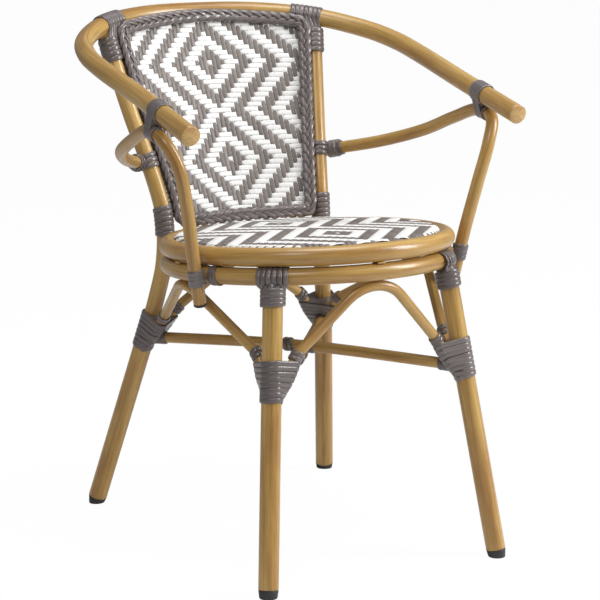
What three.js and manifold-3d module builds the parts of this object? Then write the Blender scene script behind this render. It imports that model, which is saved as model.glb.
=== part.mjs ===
// A bistro armchair of bent aluminium tube with a bamboo look: two seat rings on four splayed legs, four
// arched braces, two crossed stretchers, one bent rail for the back and arms, two arm supports, a woven seat
// and back, and lashings of flat strip at the joints. Millimetres, +Z up, +X to the right as seen from the
// front, and the front faces -Y.
import * as THREE from "three";
import { mergeVertices } from "three/addons/utils/BufferGeometryUtils.js";
import Module from "manifold-3d";

const wasm = await Module();
wasm.setup();

// Clearances
const GAP = 0.3; // between pieces that touch on the real chair

// Tubes, by radius
const LEG_RADIUS = 14.3;
const LEG_WALL = 1.4;
const RAIL_RADIUS = 13.9;
const UPPER_RING_TUBE = 13.5;
const LOWER_RING_TUBE = 12.5;
const SUPPORT_RADIUS = 9.4;
const BRACE_RADIUS = 7.6;
const STRETCHER_RADIUS = 8.2;
const POST_RADIUS = LEG_RADIUS - LEG_WALL - GAP; // the post slides into the rear leg

// Seat
const SEAT_RADIUS = 204; // of the rings' centre circle
const SEAT_HEIGHT = 450.2; // of the upper ring's centre
const RING_SLIT = 1.4; // between the two rings
const SEAT_TILT = THREE.MathUtils.degToRad(3.9); // the seat falls to the rear
const SEAT_ROD = 4; // radius of the rod that the seat is woven on
const WEAVE_THICKNESS = 3.6;
const SEAT_CROWN = 11; // rise of the woven seat over its rim
const LOWER_RING_HEIGHT = SEAT_HEIGHT - UPPER_RING_TUBE - LOWER_RING_TUBE - RING_SLIT;

// Legs
const FRONT_FOOT_X = 190.3;
const FRONT_FOOT_Y = 229.8;
const FRONT_LEG_ANGLE = THREE.MathUtils.degToRad(47.8); // where the front leg meets the ring, from the X axis
const FRONT_LEG_OUTSET = 5.4; // of its top past the ring's centre circle
const REAR_FOOT_X = 208.9;
const REAR_FOOT_Y = 310.7;
const KNEE_HEIGHT = 267; // where the rear leg passes under the leg lashing
const KNEE_X_SHARE = 0.7838; // of the seat radius
const KNEE_Y_SHARE = 1.1265; // of the seat radius
const POST_SOCKET = 40; // length of post inside the rear leg
const GLIDE_HEIGHT = 11;
const GLIDE_STEM = 16;
const GLIDE_TAPER = 0.9; // how much narrower the glide is at the floor

// Rail and arms
const ARM_HALF_WIDTH = 269.3;
const ARM_REACH = 152; // of the rail's tips before the seat's centre
const ARM_TIP_HEIGHT = 636.5;
const RAIL_HEIGHT = 764;
const BACK_REACH = 360; // of the rail's rear behind the seat's centre
const CAP_THICKNESS = 2.5;
const PLUG_LENGTH = 4;

// Braces and stretchers
const STRETCHER_HEIGHT = 279.5; // where it meets the leg
const BRACE_START_RISE = 11.5; // of the brace's lower end beside the leg, over the stretcher
const BRACE_KNEE_RISE = 37; // of its lower bend over its lower end
const BRACE_KNEE_OUTSET = 15.5; // how far it has left the leg there
const BRACE_APEX_BEND = 60;
const BRACE_KNEE_BEND = 45;
const BRACE_START = STRETCHER_HEIGHT + BRACE_START_RISE;
const BRACE_KNEE = BRACE_START + BRACE_KNEE_RISE;

// Back panel
const PANEL_INSET_FOOT = 22.5; // from post axis to the rod at the panel's side, at its foot
const PANEL_INSET_TOP = 20; // the same under the rail
const PANEL_LEAD = 4; // of that rod before the post axis
const PANEL_FOOT = 459; // height of the panel's lower rod
const PANEL_FOOT_REACH = 202; // of the middle of that rod behind the seat's centre
const PANEL_DROP = 8; // of the panel's upper rod below the rail's axis
const PANEL_BOW_POWER = 1.7;
const BORDER_WIDTH = 22;
const BORDER_DEPTH = 8;
const FRAME_ROD = 3.5;
const PANEL_CORNER = 14; // bend radius of the border at the panel's corners

// Flat strip and lashings
const STRIP_WIDTH = 6.6;
const STRIP_THICKNESS = 2;
const STRIP_PITCH = 7.6;
const STRIP_CLEARANCE = 0.6; // of a winding round a bent tube
const LASHING_CLEARANCE = 1.9; // of a winding round a leg and two braces
const WRAP = 2.6; // thickness of a lashing that is modelled as a sleeve
const POST_PITCH = 8.4;
const POST_TURNS = 5;
const CORNER_TURNS = 4;
const FRONT_LEG_TURNS = 3;
const LEG_LASHING_TURNS = 4;
const LEG_LASHING_DROP = 13.5; // of the lashing's foot below the stretcher
const LASHING_LENGTH = 34;
const ARM_POST_RISE = 58.6; // of the support's lashing over the one at the seat
const ARM_RAIL_SHARE = 0.355; // where the support is lashed under the arm, of the arm's reach
const RING_LASHING_LENGTH = 43;
const SPACER_LENGTH = 12;
const POST_SPACER_RADIUS = 7;

// Facets
const SIDES = 10;
const SMALL_SIDES = 8;
const RING_SEGMENTS = 32;
const RAIL_STEPS = 42;
const POST_STEPS = 18;
const SUPPORT_STEPS = 24;
const BRACE_STEPS = 18;
const STRIP_STEPS = 12; // in one turn
const LASHING_STEPS = 12; // in one turn of a leg lashing

const bamboo = { color: 0xbe965a, roughness: 0.38, metalness: 0 };
const cane = { color: 0xc7a468, roughness: 0.5, metalness: 0 };
const strip = { color: 0x786e70, roughness: 0.5, metalness: 0 };
const weave = { color: 0xd9d6d3, roughness: 0.6, metalness: 0 };
const black = { color: 0x2b2a2c, roughness: 0.6, metalness: 0 };

const chair = new THREE.Group();
const vector = (x, y, z) => new THREE.Vector3(x, y, z);

function add(name, geometry, look) {
  const mesh = new THREE.Mesh(geometry, new THREE.MeshStandardMaterial(look));
  mesh.name = name;
  chair.add(mesh);
}

// Solids: joining and cutting

function solid(geometry) {
  const bare = geometry.clone();
  bare.deleteAttribute("normal");
  bare.deleteAttribute("uv");
  const merged = mergeVertices(bare, 1e-4);
  const triVerts = new Uint32Array(merged.index.array);
  return new wasm.Manifold(
    new wasm.Mesh({ numProp: 3, vertProperties: merged.attributes.position.array, triVerts }),
  );
}

function geometryOf(manifold) {
  const mesh = manifold.getMesh();
  const geometry = new THREE.BufferGeometry();
  geometry.setAttribute("position", new THREE.BufferAttribute(mesh.vertProperties, mesh.numProp));
  geometry.setIndex(new THREE.BufferAttribute(mesh.triVerts, 1));
  return geometry;
}

function cut(geometry, cutters) {
  return geometryOf(cutters.reduce((left, cutter) => left.subtract(solid(cutter)), solid(geometry)));
}

function join(geometries) {
  return geometryOf(geometries.map(solid).reduce((sum, piece) => sum.add(piece)));
}

// Curves

class Stretch extends THREE.Curve {
  constructor(curve, from, to) {
    super();
    this.curve = curve;
    this.from = from;
    this.to = to;
  }
  getPoint(t) {
    return this.curve.getPointAt(THREE.MathUtils.clamp(THREE.MathUtils.lerp(this.from, this.to, t), 0, 1));
  }
}

class Bend extends THREE.Curve {
  // The arc that rounds a corner: it leaves start along heading and turns by angle.
  constructor(start, heading, centre, angle) {
    super();
    this.centre = centre;
    this.arm = start.clone().sub(centre);
    this.heading = heading.clone().multiplyScalar(this.arm.length());
    this.angle = angle;
  }
  getPoint(t) {
    const turned = this.angle * t;
    return this.centre
      .clone()
      .addScaledVector(this.arm, Math.cos(turned))
      .addScaledVector(this.heading, Math.sin(turned));
  }
}

// Straight runs between corners, each corner but the ends rounded to its bend radius.
function bentPath(corners, bends) {
  const path = new THREE.CurvePath();
  let from = corners[0];
  for (let i = 1; i < corners.length - 1; i++) {
    const heading = corners[i].clone().sub(corners[i - 1]).normalize();
    const next = corners[i + 1].clone().sub(corners[i]).normalize();
    const angle = heading.angleTo(next);
    const setback = bends[i - 1] * Math.tan(angle / 2);
    const start = corners[i].clone().addScaledVector(heading, -setback);
    const inward = next.clone().addScaledVector(heading, -next.dot(heading)).normalize();
    const centre = start.clone().addScaledVector(inward, bends[i - 1]);
    path.add(new THREE.LineCurve3(from, start));
    path.add(new Bend(start, heading, centre, angle));
    from = corners[i].clone().addScaledVector(next, setback);
  }
  path.add(new THREE.LineCurve3(from, corners[corners.length - 1]));
  return path;
}

const smooth = (points) => new THREE.CatmullRomCurve3(points, false, "centripetal");
const line = (from, to) => new THREE.LineCurve3(from, to);

// The share of a curve's length at which one coordinate passes a value, between two shares.
function shareWhere(curve, axis, value, from = 0, to = 1) {
  const samples = 400;
  let best = from;
  let nearest = Infinity;
  for (let i = 0; i <= samples; i++) {
    const share = THREE.MathUtils.lerp(from, to, i / samples);
    const miss = Math.abs(curve.getPointAt(share)[axis] - value);
    if (miss < nearest) {
      nearest = miss;
      best = share;
    }
  }
  return best;
}

// Tubes

function roundShape(radius, sides, flatten = 1) {
  const points = [];
  for (let i = 0; i < sides; i++) {
    const angle = (2 * Math.PI * (i + 1 / 2)) / sides;
    points.push(new THREE.Vector2(radius * Math.cos(angle), radius * flatten * Math.sin(angle)));
  }
  return new THREE.Shape(points);
}

function sweep(shape, curve, steps) {
  return new THREE.ExtrudeGeometry(shape, { steps, bevelEnabled: false, extrudePath: curve });
}

// A tube is a curve with a radius; grow widens it, which makes the cutter that keeps the gap.
const tube = (curve, radius, steps, sides = SIDES) => ({ curve, radius, steps, sides });
const body = (t, grow = 0) => sweep(roundShape(t.radius + grow, t.sides), t.curve, t.steps);
const cutter = (t) => body(t, GAP);

function sleeve(t, middle, length, wrap = WRAP) {
  const half = length / 2 / t.curve.getLength();
  const stretch = new Stretch(t.curve, middle - half, middle + half);
  return sweep(roundShape(t.radius + wrap, SMALL_SIDES), stretch, 2);
}

const rod = (from, to, radius, sides = SMALL_SIDES) => sweep(roundShape(radius, sides), line(from, to), 1);

// A ring that lies in the seat's tilted plane, at a height of its own.
function seatPlane(geometry, height) {
  return geometry.rotateX(-SEAT_TILT).translate(0, 0, height);
}

function ringBody(radius, tubeRadius, height, sides = SIDES) {
  return seatPlane(new THREE.TorusGeometry(radius, tubeRadius, sides, RING_SEGMENTS), height);
}

function ringPoint(angle, height, radius = SEAT_RADIUS) {
  const flat = vector(radius * Math.cos(angle), radius * Math.sin(angle), 0);
  return flat.applyAxisAngle(vector(1, 0, 0), -SEAT_TILT).add(vector(0, 0, height));
}

class RingArc extends THREE.Curve {
  constructor(from, to, height) {
    super();
    this.from = from;
    this.to = to;
    this.height = height;
  }
  getPoint(t) {
    return ringPoint(THREE.MathUtils.lerp(this.from, this.to, t), this.height);
  }
}

// The chair's lines

// From the rail's tip to the middle of the back: across, to the rear and up, as shares of the rail's sizes.
const ARM_SHARES = [
  [0.9848, 0, 0.2964],
  [1, 0.3456, 0.5302],
  [0.9866, 0.5044, 0.6439],
  [0.9113, 0.6603, 0.7624],
];
const CORNER_SHARES = [0.6788, 0.8444, 0.9122];
const TOP_SHARES = [0.3635, 0.9586, 0.986];
const TIP_X_SHARE = 0.9837;

function railPlace([across, rearward, up]) {
  const height = THREE.MathUtils.lerp(ARM_TIP_HEIGHT, RAIL_HEIGHT, up);
  return vector(across * ARM_HALF_WIDTH, rearward * BACK_REACH, height);
}

const railTip = vector(TIP_X_SHARE * ARM_HALF_WIDTH, -ARM_REACH, ARM_TIP_HEIGHT);
const railCorner = railPlace(CORNER_SHARES);
const railSide = [railTip, ...ARM_SHARES.map(railPlace), railCorner, railPlace(TOP_SHARES)];
const mirrored = (point) => vector(-point.x, point.y, point.z);
const onSide = (point, side) => vector(side * point.x, point.y, point.z);
const railPoints = [...railSide, railPlace([0, 1, 1]), ...railSide.map(mirrored).reverse()];
const rail = tube(smooth(railPoints), RAIL_RADIUS, RAIL_STEPS);

// Leg axes, each as a foot on the floor and a heading with a rise of one.
const frontTop = ringPoint(-FRONT_LEG_ANGLE, LOWER_RING_HEIGHT, SEAT_RADIUS + FRONT_LEG_OUTSET);
const knee = vector(KNEE_X_SHARE * SEAT_RADIUS, KNEE_Y_SHARE * SEAT_RADIUS, KNEE_HEIGHT);

function legAxis(foot, through, side) {
  const heading = through.clone().sub(foot).divideScalar(through.z);
  return { foot: onSide(foot, side), heading: onSide(heading, side), side };
}

const atHeight = (axis, height) => axis.foot.clone().addScaledVector(axis.heading, height);
const frontLegs = [-1, 1].map((side) => legAxis(vector(FRONT_FOOT_X, -FRONT_FOOT_Y, 0), frontTop, side));
const rearLegs = [-1, 1].map((side) => legAxis(vector(REAR_FOOT_X, REAR_FOOT_Y, 0), knee, side));
const sideName = (side) => (side < 0 ? "left" : "right");

// The post, from inside the rear leg to the rail: low points follow the seat, high points follow the rail.
const POST_SEAT_SHARES = [
  [0.7127, 1.0191, 0.7708],
  [0.6819, 0.9789, 0.8618],
  [0.6711, 0.9642, 0.9396],
  [0.6696, 0.9696, 1.0084],
  [0.6779, 0.9946, 1.074],
];
const POST_RAIL_SHARES = [
  [0.5529, 0.6339, 0.7225],
  [0.5967, 0.7066, 0.8011],
  [0.6361, 0.773, 0.8809],
  [0.6714, 0.8338, 0.9634],
];

// Places written as shares of three sizes: across, to the rear and up.
function scaled(shares, across, rearward, up) {
  return shares.map(([x, y, z]) => vector(x * across, y * rearward, z * up));
}

function postCurve(axis) {
  const low = scaled(POST_SEAT_SHARES, SEAT_RADIUS, SEAT_RADIUS, SEAT_HEIGHT);
  const high = scaled(POST_RAIL_SHARES, ARM_HALF_WIDTH, BACK_REACH, RAIL_HEIGHT);
  const points = [...low, ...high, railCorner].map((point) => onSide(point, axis.side));
  return smooth([atHeight(axis, KNEE_HEIGHT), atHeight(axis, KNEE_HEIGHT + POST_SOCKET), ...points]);
}

const posts = rearLegs.map((axis) => tube(postCurve(axis), POST_RADIUS, POST_STEPS));

// The arm support, from the post, forward under the arm, and down past the rings. Up is a share of the arm's
// own height over the seat where it passes that place.
const SUPPORT_ARM_SHARES = [
  [0.6476, 1.4158, 0.3646],
  [0.818, 1.0066, 0.4475],
  [0.9506, 0.577, 0.5664],
  [0.9922, 0.1276, 0.7203],
  [1.01, -0.248, 0.8463],
  [1.0037, -0.5164, 0.8443],
  [0.9476, -0.6145, 0.6884],
  [0.8938, -0.5882, 0.41],
];
const SUPPORT_SEAT_SHARES = [
  [1.1118, -0.3843, 0.0741],
  [1.0382, -0.3451, -0.3285],
];

function armPlace([across, forward, up]) {
  const y = forward * ARM_REACH;
  const over = rail.curve.getPointAt(shareWhere(rail.curve, "y", y, 0, 1 / 2)).z - SEAT_HEIGHT;
  return vector(across * ARM_HALF_WIDTH, y, up * over);
}

function supportCurve(side) {
  const arm = SUPPORT_ARM_SHARES.map(armPlace);
  const low = scaled(SUPPORT_SEAT_SHARES, SEAT_RADIUS, SEAT_RADIUS, ARM_TIP_HEIGHT - SEAT_HEIGHT);
  const first = arm[0].clone().add(arm[0].clone().sub(arm[1]).setLength(SUPPORT_RADIUS));
  const seated = (point) => onSide(point, side).add(vector(0, 0, SEAT_HEIGHT));
  return smooth([first, ...arm, ...low].map(seated));
}

const supports = [-1, 1].map((side) => tube(supportCurve(side), SUPPORT_RADIUS, SUPPORT_STEPS, SMALL_SIDES));

// Arched braces, each between two legs, its apex under the lower ring.
function brace(legA, legB, ringAngle) {
  const apexDrop = LOWER_RING_TUBE + BRACE_RADIUS + GAP;
  const apex = ringPoint(ringAngle, LOWER_RING_HEIGHT).add(vector(0, 0, -apexDrop));
  const beside = LEG_RADIUS + BRACE_RADIUS + 2 * GAP;
  const ends = [
    [legA, legB],
    [legB, legA],
  ].map(([leg, other]) => {
    const toward = atHeight(other, BRACE_START).sub(atHeight(leg, BRACE_START));
    toward.z = 0;
    toward.normalize();
    const lean = leg.heading.clone().normalize();
    const across = toward.clone().addScaledVector(lean, -toward.dot(lean)).normalize();
    const start = atHeight(leg, BRACE_START).addScaledVector(across, beside);
    const bend = atHeight(leg, BRACE_KNEE).addScaledVector(across, beside + BRACE_KNEE_OUTSET);
    return { start, bend };
  });
  // The apex is rounded, so its corner stands above it by the depth of the rounding.
  const [a, b] = ends;
  const half = a.bend.distanceTo(b.bend) / 2;
  const rise = apex.z - (a.bend.z + b.bend.z) / 2;
  let corner = apex.clone();
  for (let i = 0; i < 8; i++) {
    const slope = Math.atan2(corner.z - apex.z + rise, half);
    corner = apex.clone().add(vector(0, 0, BRACE_APEX_BEND * (1 / Math.cos(slope) - 1)));
  }
  const corners = [a.start, a.bend, corner, b.bend, b.start];
  const path = bentPath(corners, [BRACE_KNEE_BEND, BRACE_APEX_BEND, BRACE_KNEE_BEND]);
  return tube(path, BRACE_RADIUS, BRACE_STEPS, SMALL_SIDES);
}

const [frontLeft, frontRight] = frontLegs;
const [rearLeft, rearRight] = rearLegs;
const braces = {
  front: brace(frontLeft, frontRight, -Math.PI / 2),
  right: brace(frontRight, rearRight, 0),
  rear: brace(rearRight, rearLeft, Math.PI / 2),
  left: brace(rearLeft, frontLeft, Math.PI),
};

// Stretchers cross in an X: one passes over the other, so each is bent a little at the crossing.
function stretcher(legA, legB, lift) {
  const from = atHeight(legA, STRETCHER_HEIGHT);
  const to = atHeight(legB, STRETCHER_HEIGHT);
  const middle = from.clone().lerp(to, from.x / (from.x - to.x));
  middle.z += lift;
  return tube(smooth([from, middle, to]), STRETCHER_RADIUS, 6, SMALL_SIDES);
}

const stretcherLift = STRETCHER_RADIUS + GAP;
const upperStretcher = stretcher(rearLeft, frontRight, stretcherLift);
const lowerStretcher = stretcher(frontLeft, rearRight, -stretcherLift);

// Frame tubes

function legBody(axis, top, radius, bore) {
  // A tube open at both ends, from the top of the glide to its top height.
  const heading = axis.heading.clone().normalize();
  const foot = GLIDE_HEIGHT / heading.z;
  const length = top / heading.z;
  const profile = [
    new THREE.Vector2(bore, foot),
    new THREE.Vector2(radius, foot),
    new THREE.Vector2(radius, length),
    new THREE.Vector2(bore, length),
    new THREE.Vector2(bore, foot),
  ];
  return alongAxis(new THREE.LatheGeometry(profile, SIDES), axis);
}

function alongAxis(geometry, axis) {
  const heading = axis.heading.clone().normalize();
  geometry.applyQuaternion(new THREE.Quaternion().setFromUnitVectors(vector(0, 1, 0), heading));
  return geometry.translate(axis.foot.x, axis.foot.y, axis.foot.z);
}

const flatSide = Math.cos(Math.PI / SIDES); // a facet's distance from the axis, over its corners'
const legBore = (LEG_RADIUS - LEG_WALL) / flatSide;
const upperRing = (grow) => ringBody(SEAT_RADIUS, UPPER_RING_TUBE + grow, SEAT_HEIGHT);
const lowerRing = (grow) => ringBody(SEAT_RADIUS, LOWER_RING_TUBE + grow, LOWER_RING_HEIGHT);
const legTube = (axis) => tube(line(atHeight(axis, 0), atHeight(axis, frontTop.z)), LEG_RADIUS, 1);
// Its flats lie outside the leg's corners, so it clears a leg whose facets face another way.
function legCutter(axis) {
  return rod(atHeight(axis, 0), atHeight(axis, frontTop.z), (LEG_RADIUS + GAP) / flatSide, SIDES);
}

for (const axis of frontLegs) {
  const leg = legBody(axis, frontTop.z, LEG_RADIUS, legBore);
  add("front_leg_" + sideName(axis.side), cut(leg, [lowerRing(GAP)]), bamboo);
}
for (const axis of rearLegs) {
  const leg = legBody(axis, KNEE_HEIGHT + POST_SOCKET, LEG_RADIUS, legBore);
  add("rear_leg_" + sideName(axis.side), leg, bamboo);
}

function glide(axis) {
  const heading = axis.heading.clone().normalize();
  const top = GLIDE_HEIGHT / heading.z - GAP;
  const stem = LEG_RADIUS - LEG_WALL - GAP;
  const profile = [
    new THREE.Vector2(0, -LEG_RADIUS),
    new THREE.Vector2(LEG_RADIUS * GLIDE_TAPER, -LEG_RADIUS),
    new THREE.Vector2(LEG_RADIUS, top),
    new THREE.Vector2(stem, top),
    new THREE.Vector2(stem, top + GLIDE_STEM),
    new THREE.Vector2(0, top + GLIDE_STEM),
  ];
  const whole = alongAxis(new THREE.LatheGeometry(profile, SIDES), axis);
  const reach = 4 * LEG_RADIUS;
  const ground = new THREE.BoxGeometry(reach, reach, reach).translate(axis.foot.x, axis.foot.y, -reach / 2);
  return cut(whole, [ground]);
}

for (const axis of frontLegs) add("glide_front_" + sideName(axis.side), glide(axis), black);
for (const axis of rearLegs) add("glide_rear_" + sideName(axis.side), glide(axis), black);

add("arm_rail", body(rail), bamboo);
add("seat_ring_upper", upperRing(0), bamboo);
add("seat_ring_lower", lowerRing(0), bamboo);
posts.forEach((post, i) => {
  add("rear_post_" + sideName(rearLegs[i].side), cut(body(post), [cutter(rail)]), bamboo);
});
supports.forEach((support, i) => {
  add("arm_support_" + sideName(frontLegs[i].side), cut(body(support), [cutter(posts[i])]), bamboo);
});

// Caps on the rail's tips and plugs in the supports' lower ends.
function endDisc(curve, atEnd, radius, thickness, sides) {
  const end = curve.getPointAt(atEnd ? 1 : 0);
  const outward = curve.getTangentAt(atEnd ? 1 : 0).multiplyScalar(atEnd ? 1 : -1);
  const seat = end.clone().addScaledVector(outward, GAP);
  return rod(seat, seat.clone().addScaledVector(outward, thickness), radius, sides);
}

add("rail_cap_right", endDisc(rail.curve, false, RAIL_RADIUS, CAP_THICKNESS, SIDES), cane);
add("rail_cap_left", endDisc(rail.curve, true, RAIL_RADIUS, CAP_THICKNESS, SIDES), cane);
supports.forEach((support, i) => {
  const plug = endDisc(support.curve, true, SUPPORT_RADIUS, PLUG_LENGTH, support.sides);
  add("support_plug_" + sideName(frontLegs[i].side), plug, black);
});

for (const [name, arch] of Object.entries(braces)) {
  add("brace_" + name, cut(body(arch), [lowerRing(GAP)]), bamboo);
}
const legCutters = [...frontLegs, ...rearLegs].map(legCutter);
add("stretcher_upper", cut(body(upperStretcher), [...legCutters, cutter(lowerStretcher)]), bamboo);
add("stretcher_lower", cut(body(lowerStretcher), legCutters), bamboo);

// Spacers: saddles between the two rings, and rods from the upper ring to the posts.
const ringCutters = [upperRing(GAP), lowerRing(GAP)];
const quarters = { front: -Math.PI / 2, right: 0, rear: Math.PI / 2, left: Math.PI };
for (const [name, angle] of Object.entries(quarters)) {
  const deep = UPPER_RING_TUBE + LOWER_RING_TUBE + RING_SLIT;
  const block = new THREE.BoxGeometry(SPACER_LENGTH, SPACER_LENGTH, deep - 2 * SPACER_LENGTH);
  block.rotateZ(angle).translate(SEAT_RADIUS * Math.cos(angle), SEAT_RADIUS * Math.sin(angle), 0);
  const slit = LOWER_RING_HEIGHT + LOWER_RING_TUBE + RING_SLIT / 2;
  add("ring_spacer_" + name, cut(seatPlane(block, slit), ringCutters), bamboo);
}
posts.forEach((post, i) => {
  const share = shareWhere(post.curve, "z", SEAT_HEIGHT - SEAT_RADIUS * Math.sin(SEAT_TILT));
  const axis = post.curve.getPointAt(share);
  const angle = Math.atan2(axis.y, axis.x);
  const inner = ringPoint(angle, SEAT_HEIGHT);
  const outer = axis.clone().setZ(inner.z);
  const spacer = cut(rod(inner, outer, POST_SPACER_RADIUS), [upperRing(GAP), cutter(post), lowerRing(GAP)]);
  add("post_spacer_" + sideName(rearLegs[i].side), spacer, bamboo);
});

// Woven seat: a rod ring inside the upper ring, and a low dome woven on it.
const seatRim = SEAT_RADIUS - UPPER_RING_TUBE - GAP;
const rimFoot = SEAT_ROD + GAP;
const rimTop = rimFoot + WEAVE_THICKNESS;
add("seat_rod_ring", ringBody(seatRim - SEAT_ROD, SEAT_ROD, SEAT_HEIGHT, 6), cane);

function seatDome() {
  const profile = [new THREE.Vector2(0, rimFoot), new THREE.Vector2(seatRim, rimFoot)];
  const rings = 4;
  for (let i = rings; i >= 0; i--) {
    const share = i / rings;
    profile.push(new THREE.Vector2(seatRim * share, rimTop + SEAT_CROWN * (1 - share ** 2)));
  }
  return new THREE.LatheGeometry(profile, RING_SEGMENTS).rotateX(Math.PI / 2);
}
add("seat_weave", seatPlane(seatDome(), SEAT_HEIGHT), weave);

// Woven back: s runs from -1 to 1 across, t from 0 at the foot to 1 under the rail. Its middle is straight,
// from its foot to the front of the rail, and its sides follow the posts.
const sidePost = posts[1].curve.getSpacedPoints(400);

function postAt(height) {
  const after = sidePost.findIndex((point) => point.z > height);
  if (after < 0) return sidePost[sidePost.length - 1];
  const [a, b] = [sidePost[after - 1], sidePost[after]];
  return a.clone().lerp(b, (height - a.z) / (b.z - a.z));
}

function panelPlace(s, t) {
  const top = THREE.MathUtils.lerp(railCorner.z, RAIL_HEIGHT, 1 - s ** 2) - PANEL_DROP;
  const height = THREE.MathUtils.lerp(PANEL_FOOT, top, t);
  const edge = postAt(height);
  const risen = (height - PANEL_FOOT) / (RAIL_HEIGHT - PANEL_DROP - PANEL_FOOT);
  const middle = THREE.MathUtils.lerp(PANEL_FOOT_REACH, BACK_REACH - RAIL_RADIUS, risen);
  const rearward = THREE.MathUtils.lerp(middle, edge.y - PANEL_LEAD, Math.abs(s) ** PANEL_BOW_POWER);
  return vector(s * (edge.x - THREE.MathUtils.lerp(PANEL_INSET_FOOT, PANEL_INSET_TOP, t)), rearward, height);
}

// The way forward, square to the panel.
function panelNormal(s, t) {
  const step = 1 / 50;
  const across = panelPlace(s + step, t).sub(panelPlace(s - step, t));
  const up = panelPlace(s, t + step).sub(panelPlace(s, t - step));
  return across.cross(up).normalize();
}

const panelPoint = (s, t, lift) => panelPlace(s, t).addScaledVector(panelNormal(s, t), lift);

// The panel's outline with round corners, from the middle of the foot and back to it.
function panelLoop(lift) {
  const half = railCorner.x - PANEL_INSET_TOP;
  const tall = RAIL_HEIGHT - PANEL_DROP - PANEL_FOOT;
  const places = [];
  const ways = [];
  const put = (across, up) => {
    places.push(panelPoint(across / half, up / tall, lift));
    ways.push(panelNormal(across / half, up / tall));
  };
  const wide = half - PANEL_CORNER;
  const low = PANEL_CORNER;
  const high = tall - PANEL_CORNER;
  const run = 8;
  const corner = (across, up, from) => {
    for (let i = 0; i <= 2; i++) {
      const angle = from + (i * Math.PI) / 4;
      put(across + PANEL_CORNER * Math.cos(angle), up + PANEL_CORNER * Math.sin(angle));
    }
  };
  for (let i = 0; i < run / 2; i++) put((wide * 2 * i) / run, 0);
  corner(wide, low, -Math.PI / 2);
  for (let i = 1; i < run; i++) put(half, THREE.MathUtils.lerp(low, high, i / run));
  corner(wide, high, 0);
  for (let i = 1; i < run; i++) put(wide * (1 - (2 * i) / run), tall);
  corner(-wide, high, Math.PI / 2);
  for (let i = 1; i < run; i++) put(-half, THREE.MathUtils.lerp(high, low, i / run));
  corner(-wide, low, Math.PI);
  for (let i = 1; i < run / 2; i++) put(-wide * (1 - (2 * i) / run), 0);
  const seam = places[0].clone().setX(-GAP); // the two ends meet here
  return hoop([...places, seam], [...ways, ways[0]]);
}

// A run through exactly these points that ends where it starts, whose section's second axis follows the ways.
function hoop(points, ways) {
  const curve = new THREE.CatmullRomCurve3(points);
  const last = points.length - 1;
  curve.getSpacedPoints = () => points;
  curve.computeFrenetFrames = () => {
    const frames = { tangents: [], normals: [], binormals: [] };
    for (let i = 0; i <= last; i++) {
      const before = points[i > 0 ? i - 1 : last - 1];
      const after = points[i < last ? i + 1 : 1];
      const tangent = after.clone().sub(before).normalize();
      const normal = ways[i].clone().cross(tangent).normalize();
      frames.tangents.push(tangent);
      frames.normals.push(normal);
      frames.binormals.push(tangent.clone().cross(normal));
    }
    return frames;
  };
  return curve;
}

const frameLoop = panelLoop(0);
const backFrame = tube(frameLoop, FRAME_ROD, frameLoop.points.length - 1, 5);
add("back_frame", cut(body(backFrame), [cutter(rail)]), cane);
const borderCurve = panelLoop(FRAME_ROD + GAP + BORDER_DEPTH / 2);
const borderShape = roundShape(BORDER_WIDTH / 2, 6, BORDER_DEPTH / BORDER_WIDTH);
const border = sweep(borderShape, borderCurve, borderCurve.points.length - 1);
add("back_border", cut(border, [cutter(rail)]), strip);

function panelSheet() {
  const across = 8;
  const up = 10;
  const sheet = new THREE.BoxGeometry(2, 1, 1, across, 1, up);
  const margin = FRAME_ROD + 2 * GAP;
  const tall = RAIL_HEIGHT - PANEL_DROP - PANEL_FOOT;
  const place = sheet.attributes.position;
  for (let i = 0; i < place.count; i++) {
    const t = THREE.MathUtils.lerp(margin / tall, 1 - margin / tall, place.getZ(i) + 1 / 2);
    const s = place.getX(i) * (1 - margin / panelPlace(1, t).x);
    const point = panelPoint(s, t, -place.getY(i) * WEAVE_THICKNESS);
    place.setXYZ(i, point.x, point.y, point.z);
  }
  return sheet;
}
add("back_weave", cut(panelSheet(), [cutter(backFrame)]), weave);

// Windings: one flat strip round a tube, turn over turn

// frameAt(turn) gives the point on the strip's inner face, the way out and the way along the tube.
function winding(name, turns, steps, frameAt) {
  const corners = [];
  for (let i = 0; i <= turns * steps; i++) {
    const { point, out, along } = frameAt(i / steps);
    const low = point.clone().addScaledVector(along, -STRIP_WIDTH / 2);
    const high = point.clone().addScaledVector(along, STRIP_WIDTH / 2);
    const outward = out.clone().multiplyScalar(STRIP_THICKNESS);
    corners.push([low, low.clone().add(outward), high.clone().add(outward), high]);
  }
  console.log(name + ": least gap to itself " + leastGap(corners, steps).toFixed(2) + " mm");
  return sectionsToGeometry(corners);
}

function leastGap(corners, steps) {
  let least = Infinity;
  const nearTurn = Math.round((steps * 3) / 4);
  for (let i = 0; i < corners.length; i++) {
    for (let j = i + nearTurn; j < corners.length; j++) {
      for (const high of [corners[i][2], corners[i][3]]) {
        for (const low of [corners[j][0], corners[j][1]]) least = Math.min(least, high.distanceTo(low));
      }
    }
  }
  return least;
}

function sectionsToGeometry(sections) {
  const sides = sections[0].length;
  const index = [];
  for (let i = 0; i + 1 < sections.length; i++) {
    for (let k = 0; k < sides; k++) {
      const a = i * sides + k;
      const b = i * sides + ((k + 1) % sides);
      index.push(a, a + sides, b, b, a + sides, b + sides);
    }
  }
  const last = (sections.length - 1) * sides;
  for (let k = 1; k + 1 < sides; k++) {
    index.push(0, k, k + 1);
    index.push(last, last + k + 1, last + k);
  }
  const geometry = new THREE.BufferGeometry().setFromPoints(sections.flat());
  geometry.setIndex(index);
  return geometry;
}

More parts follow.
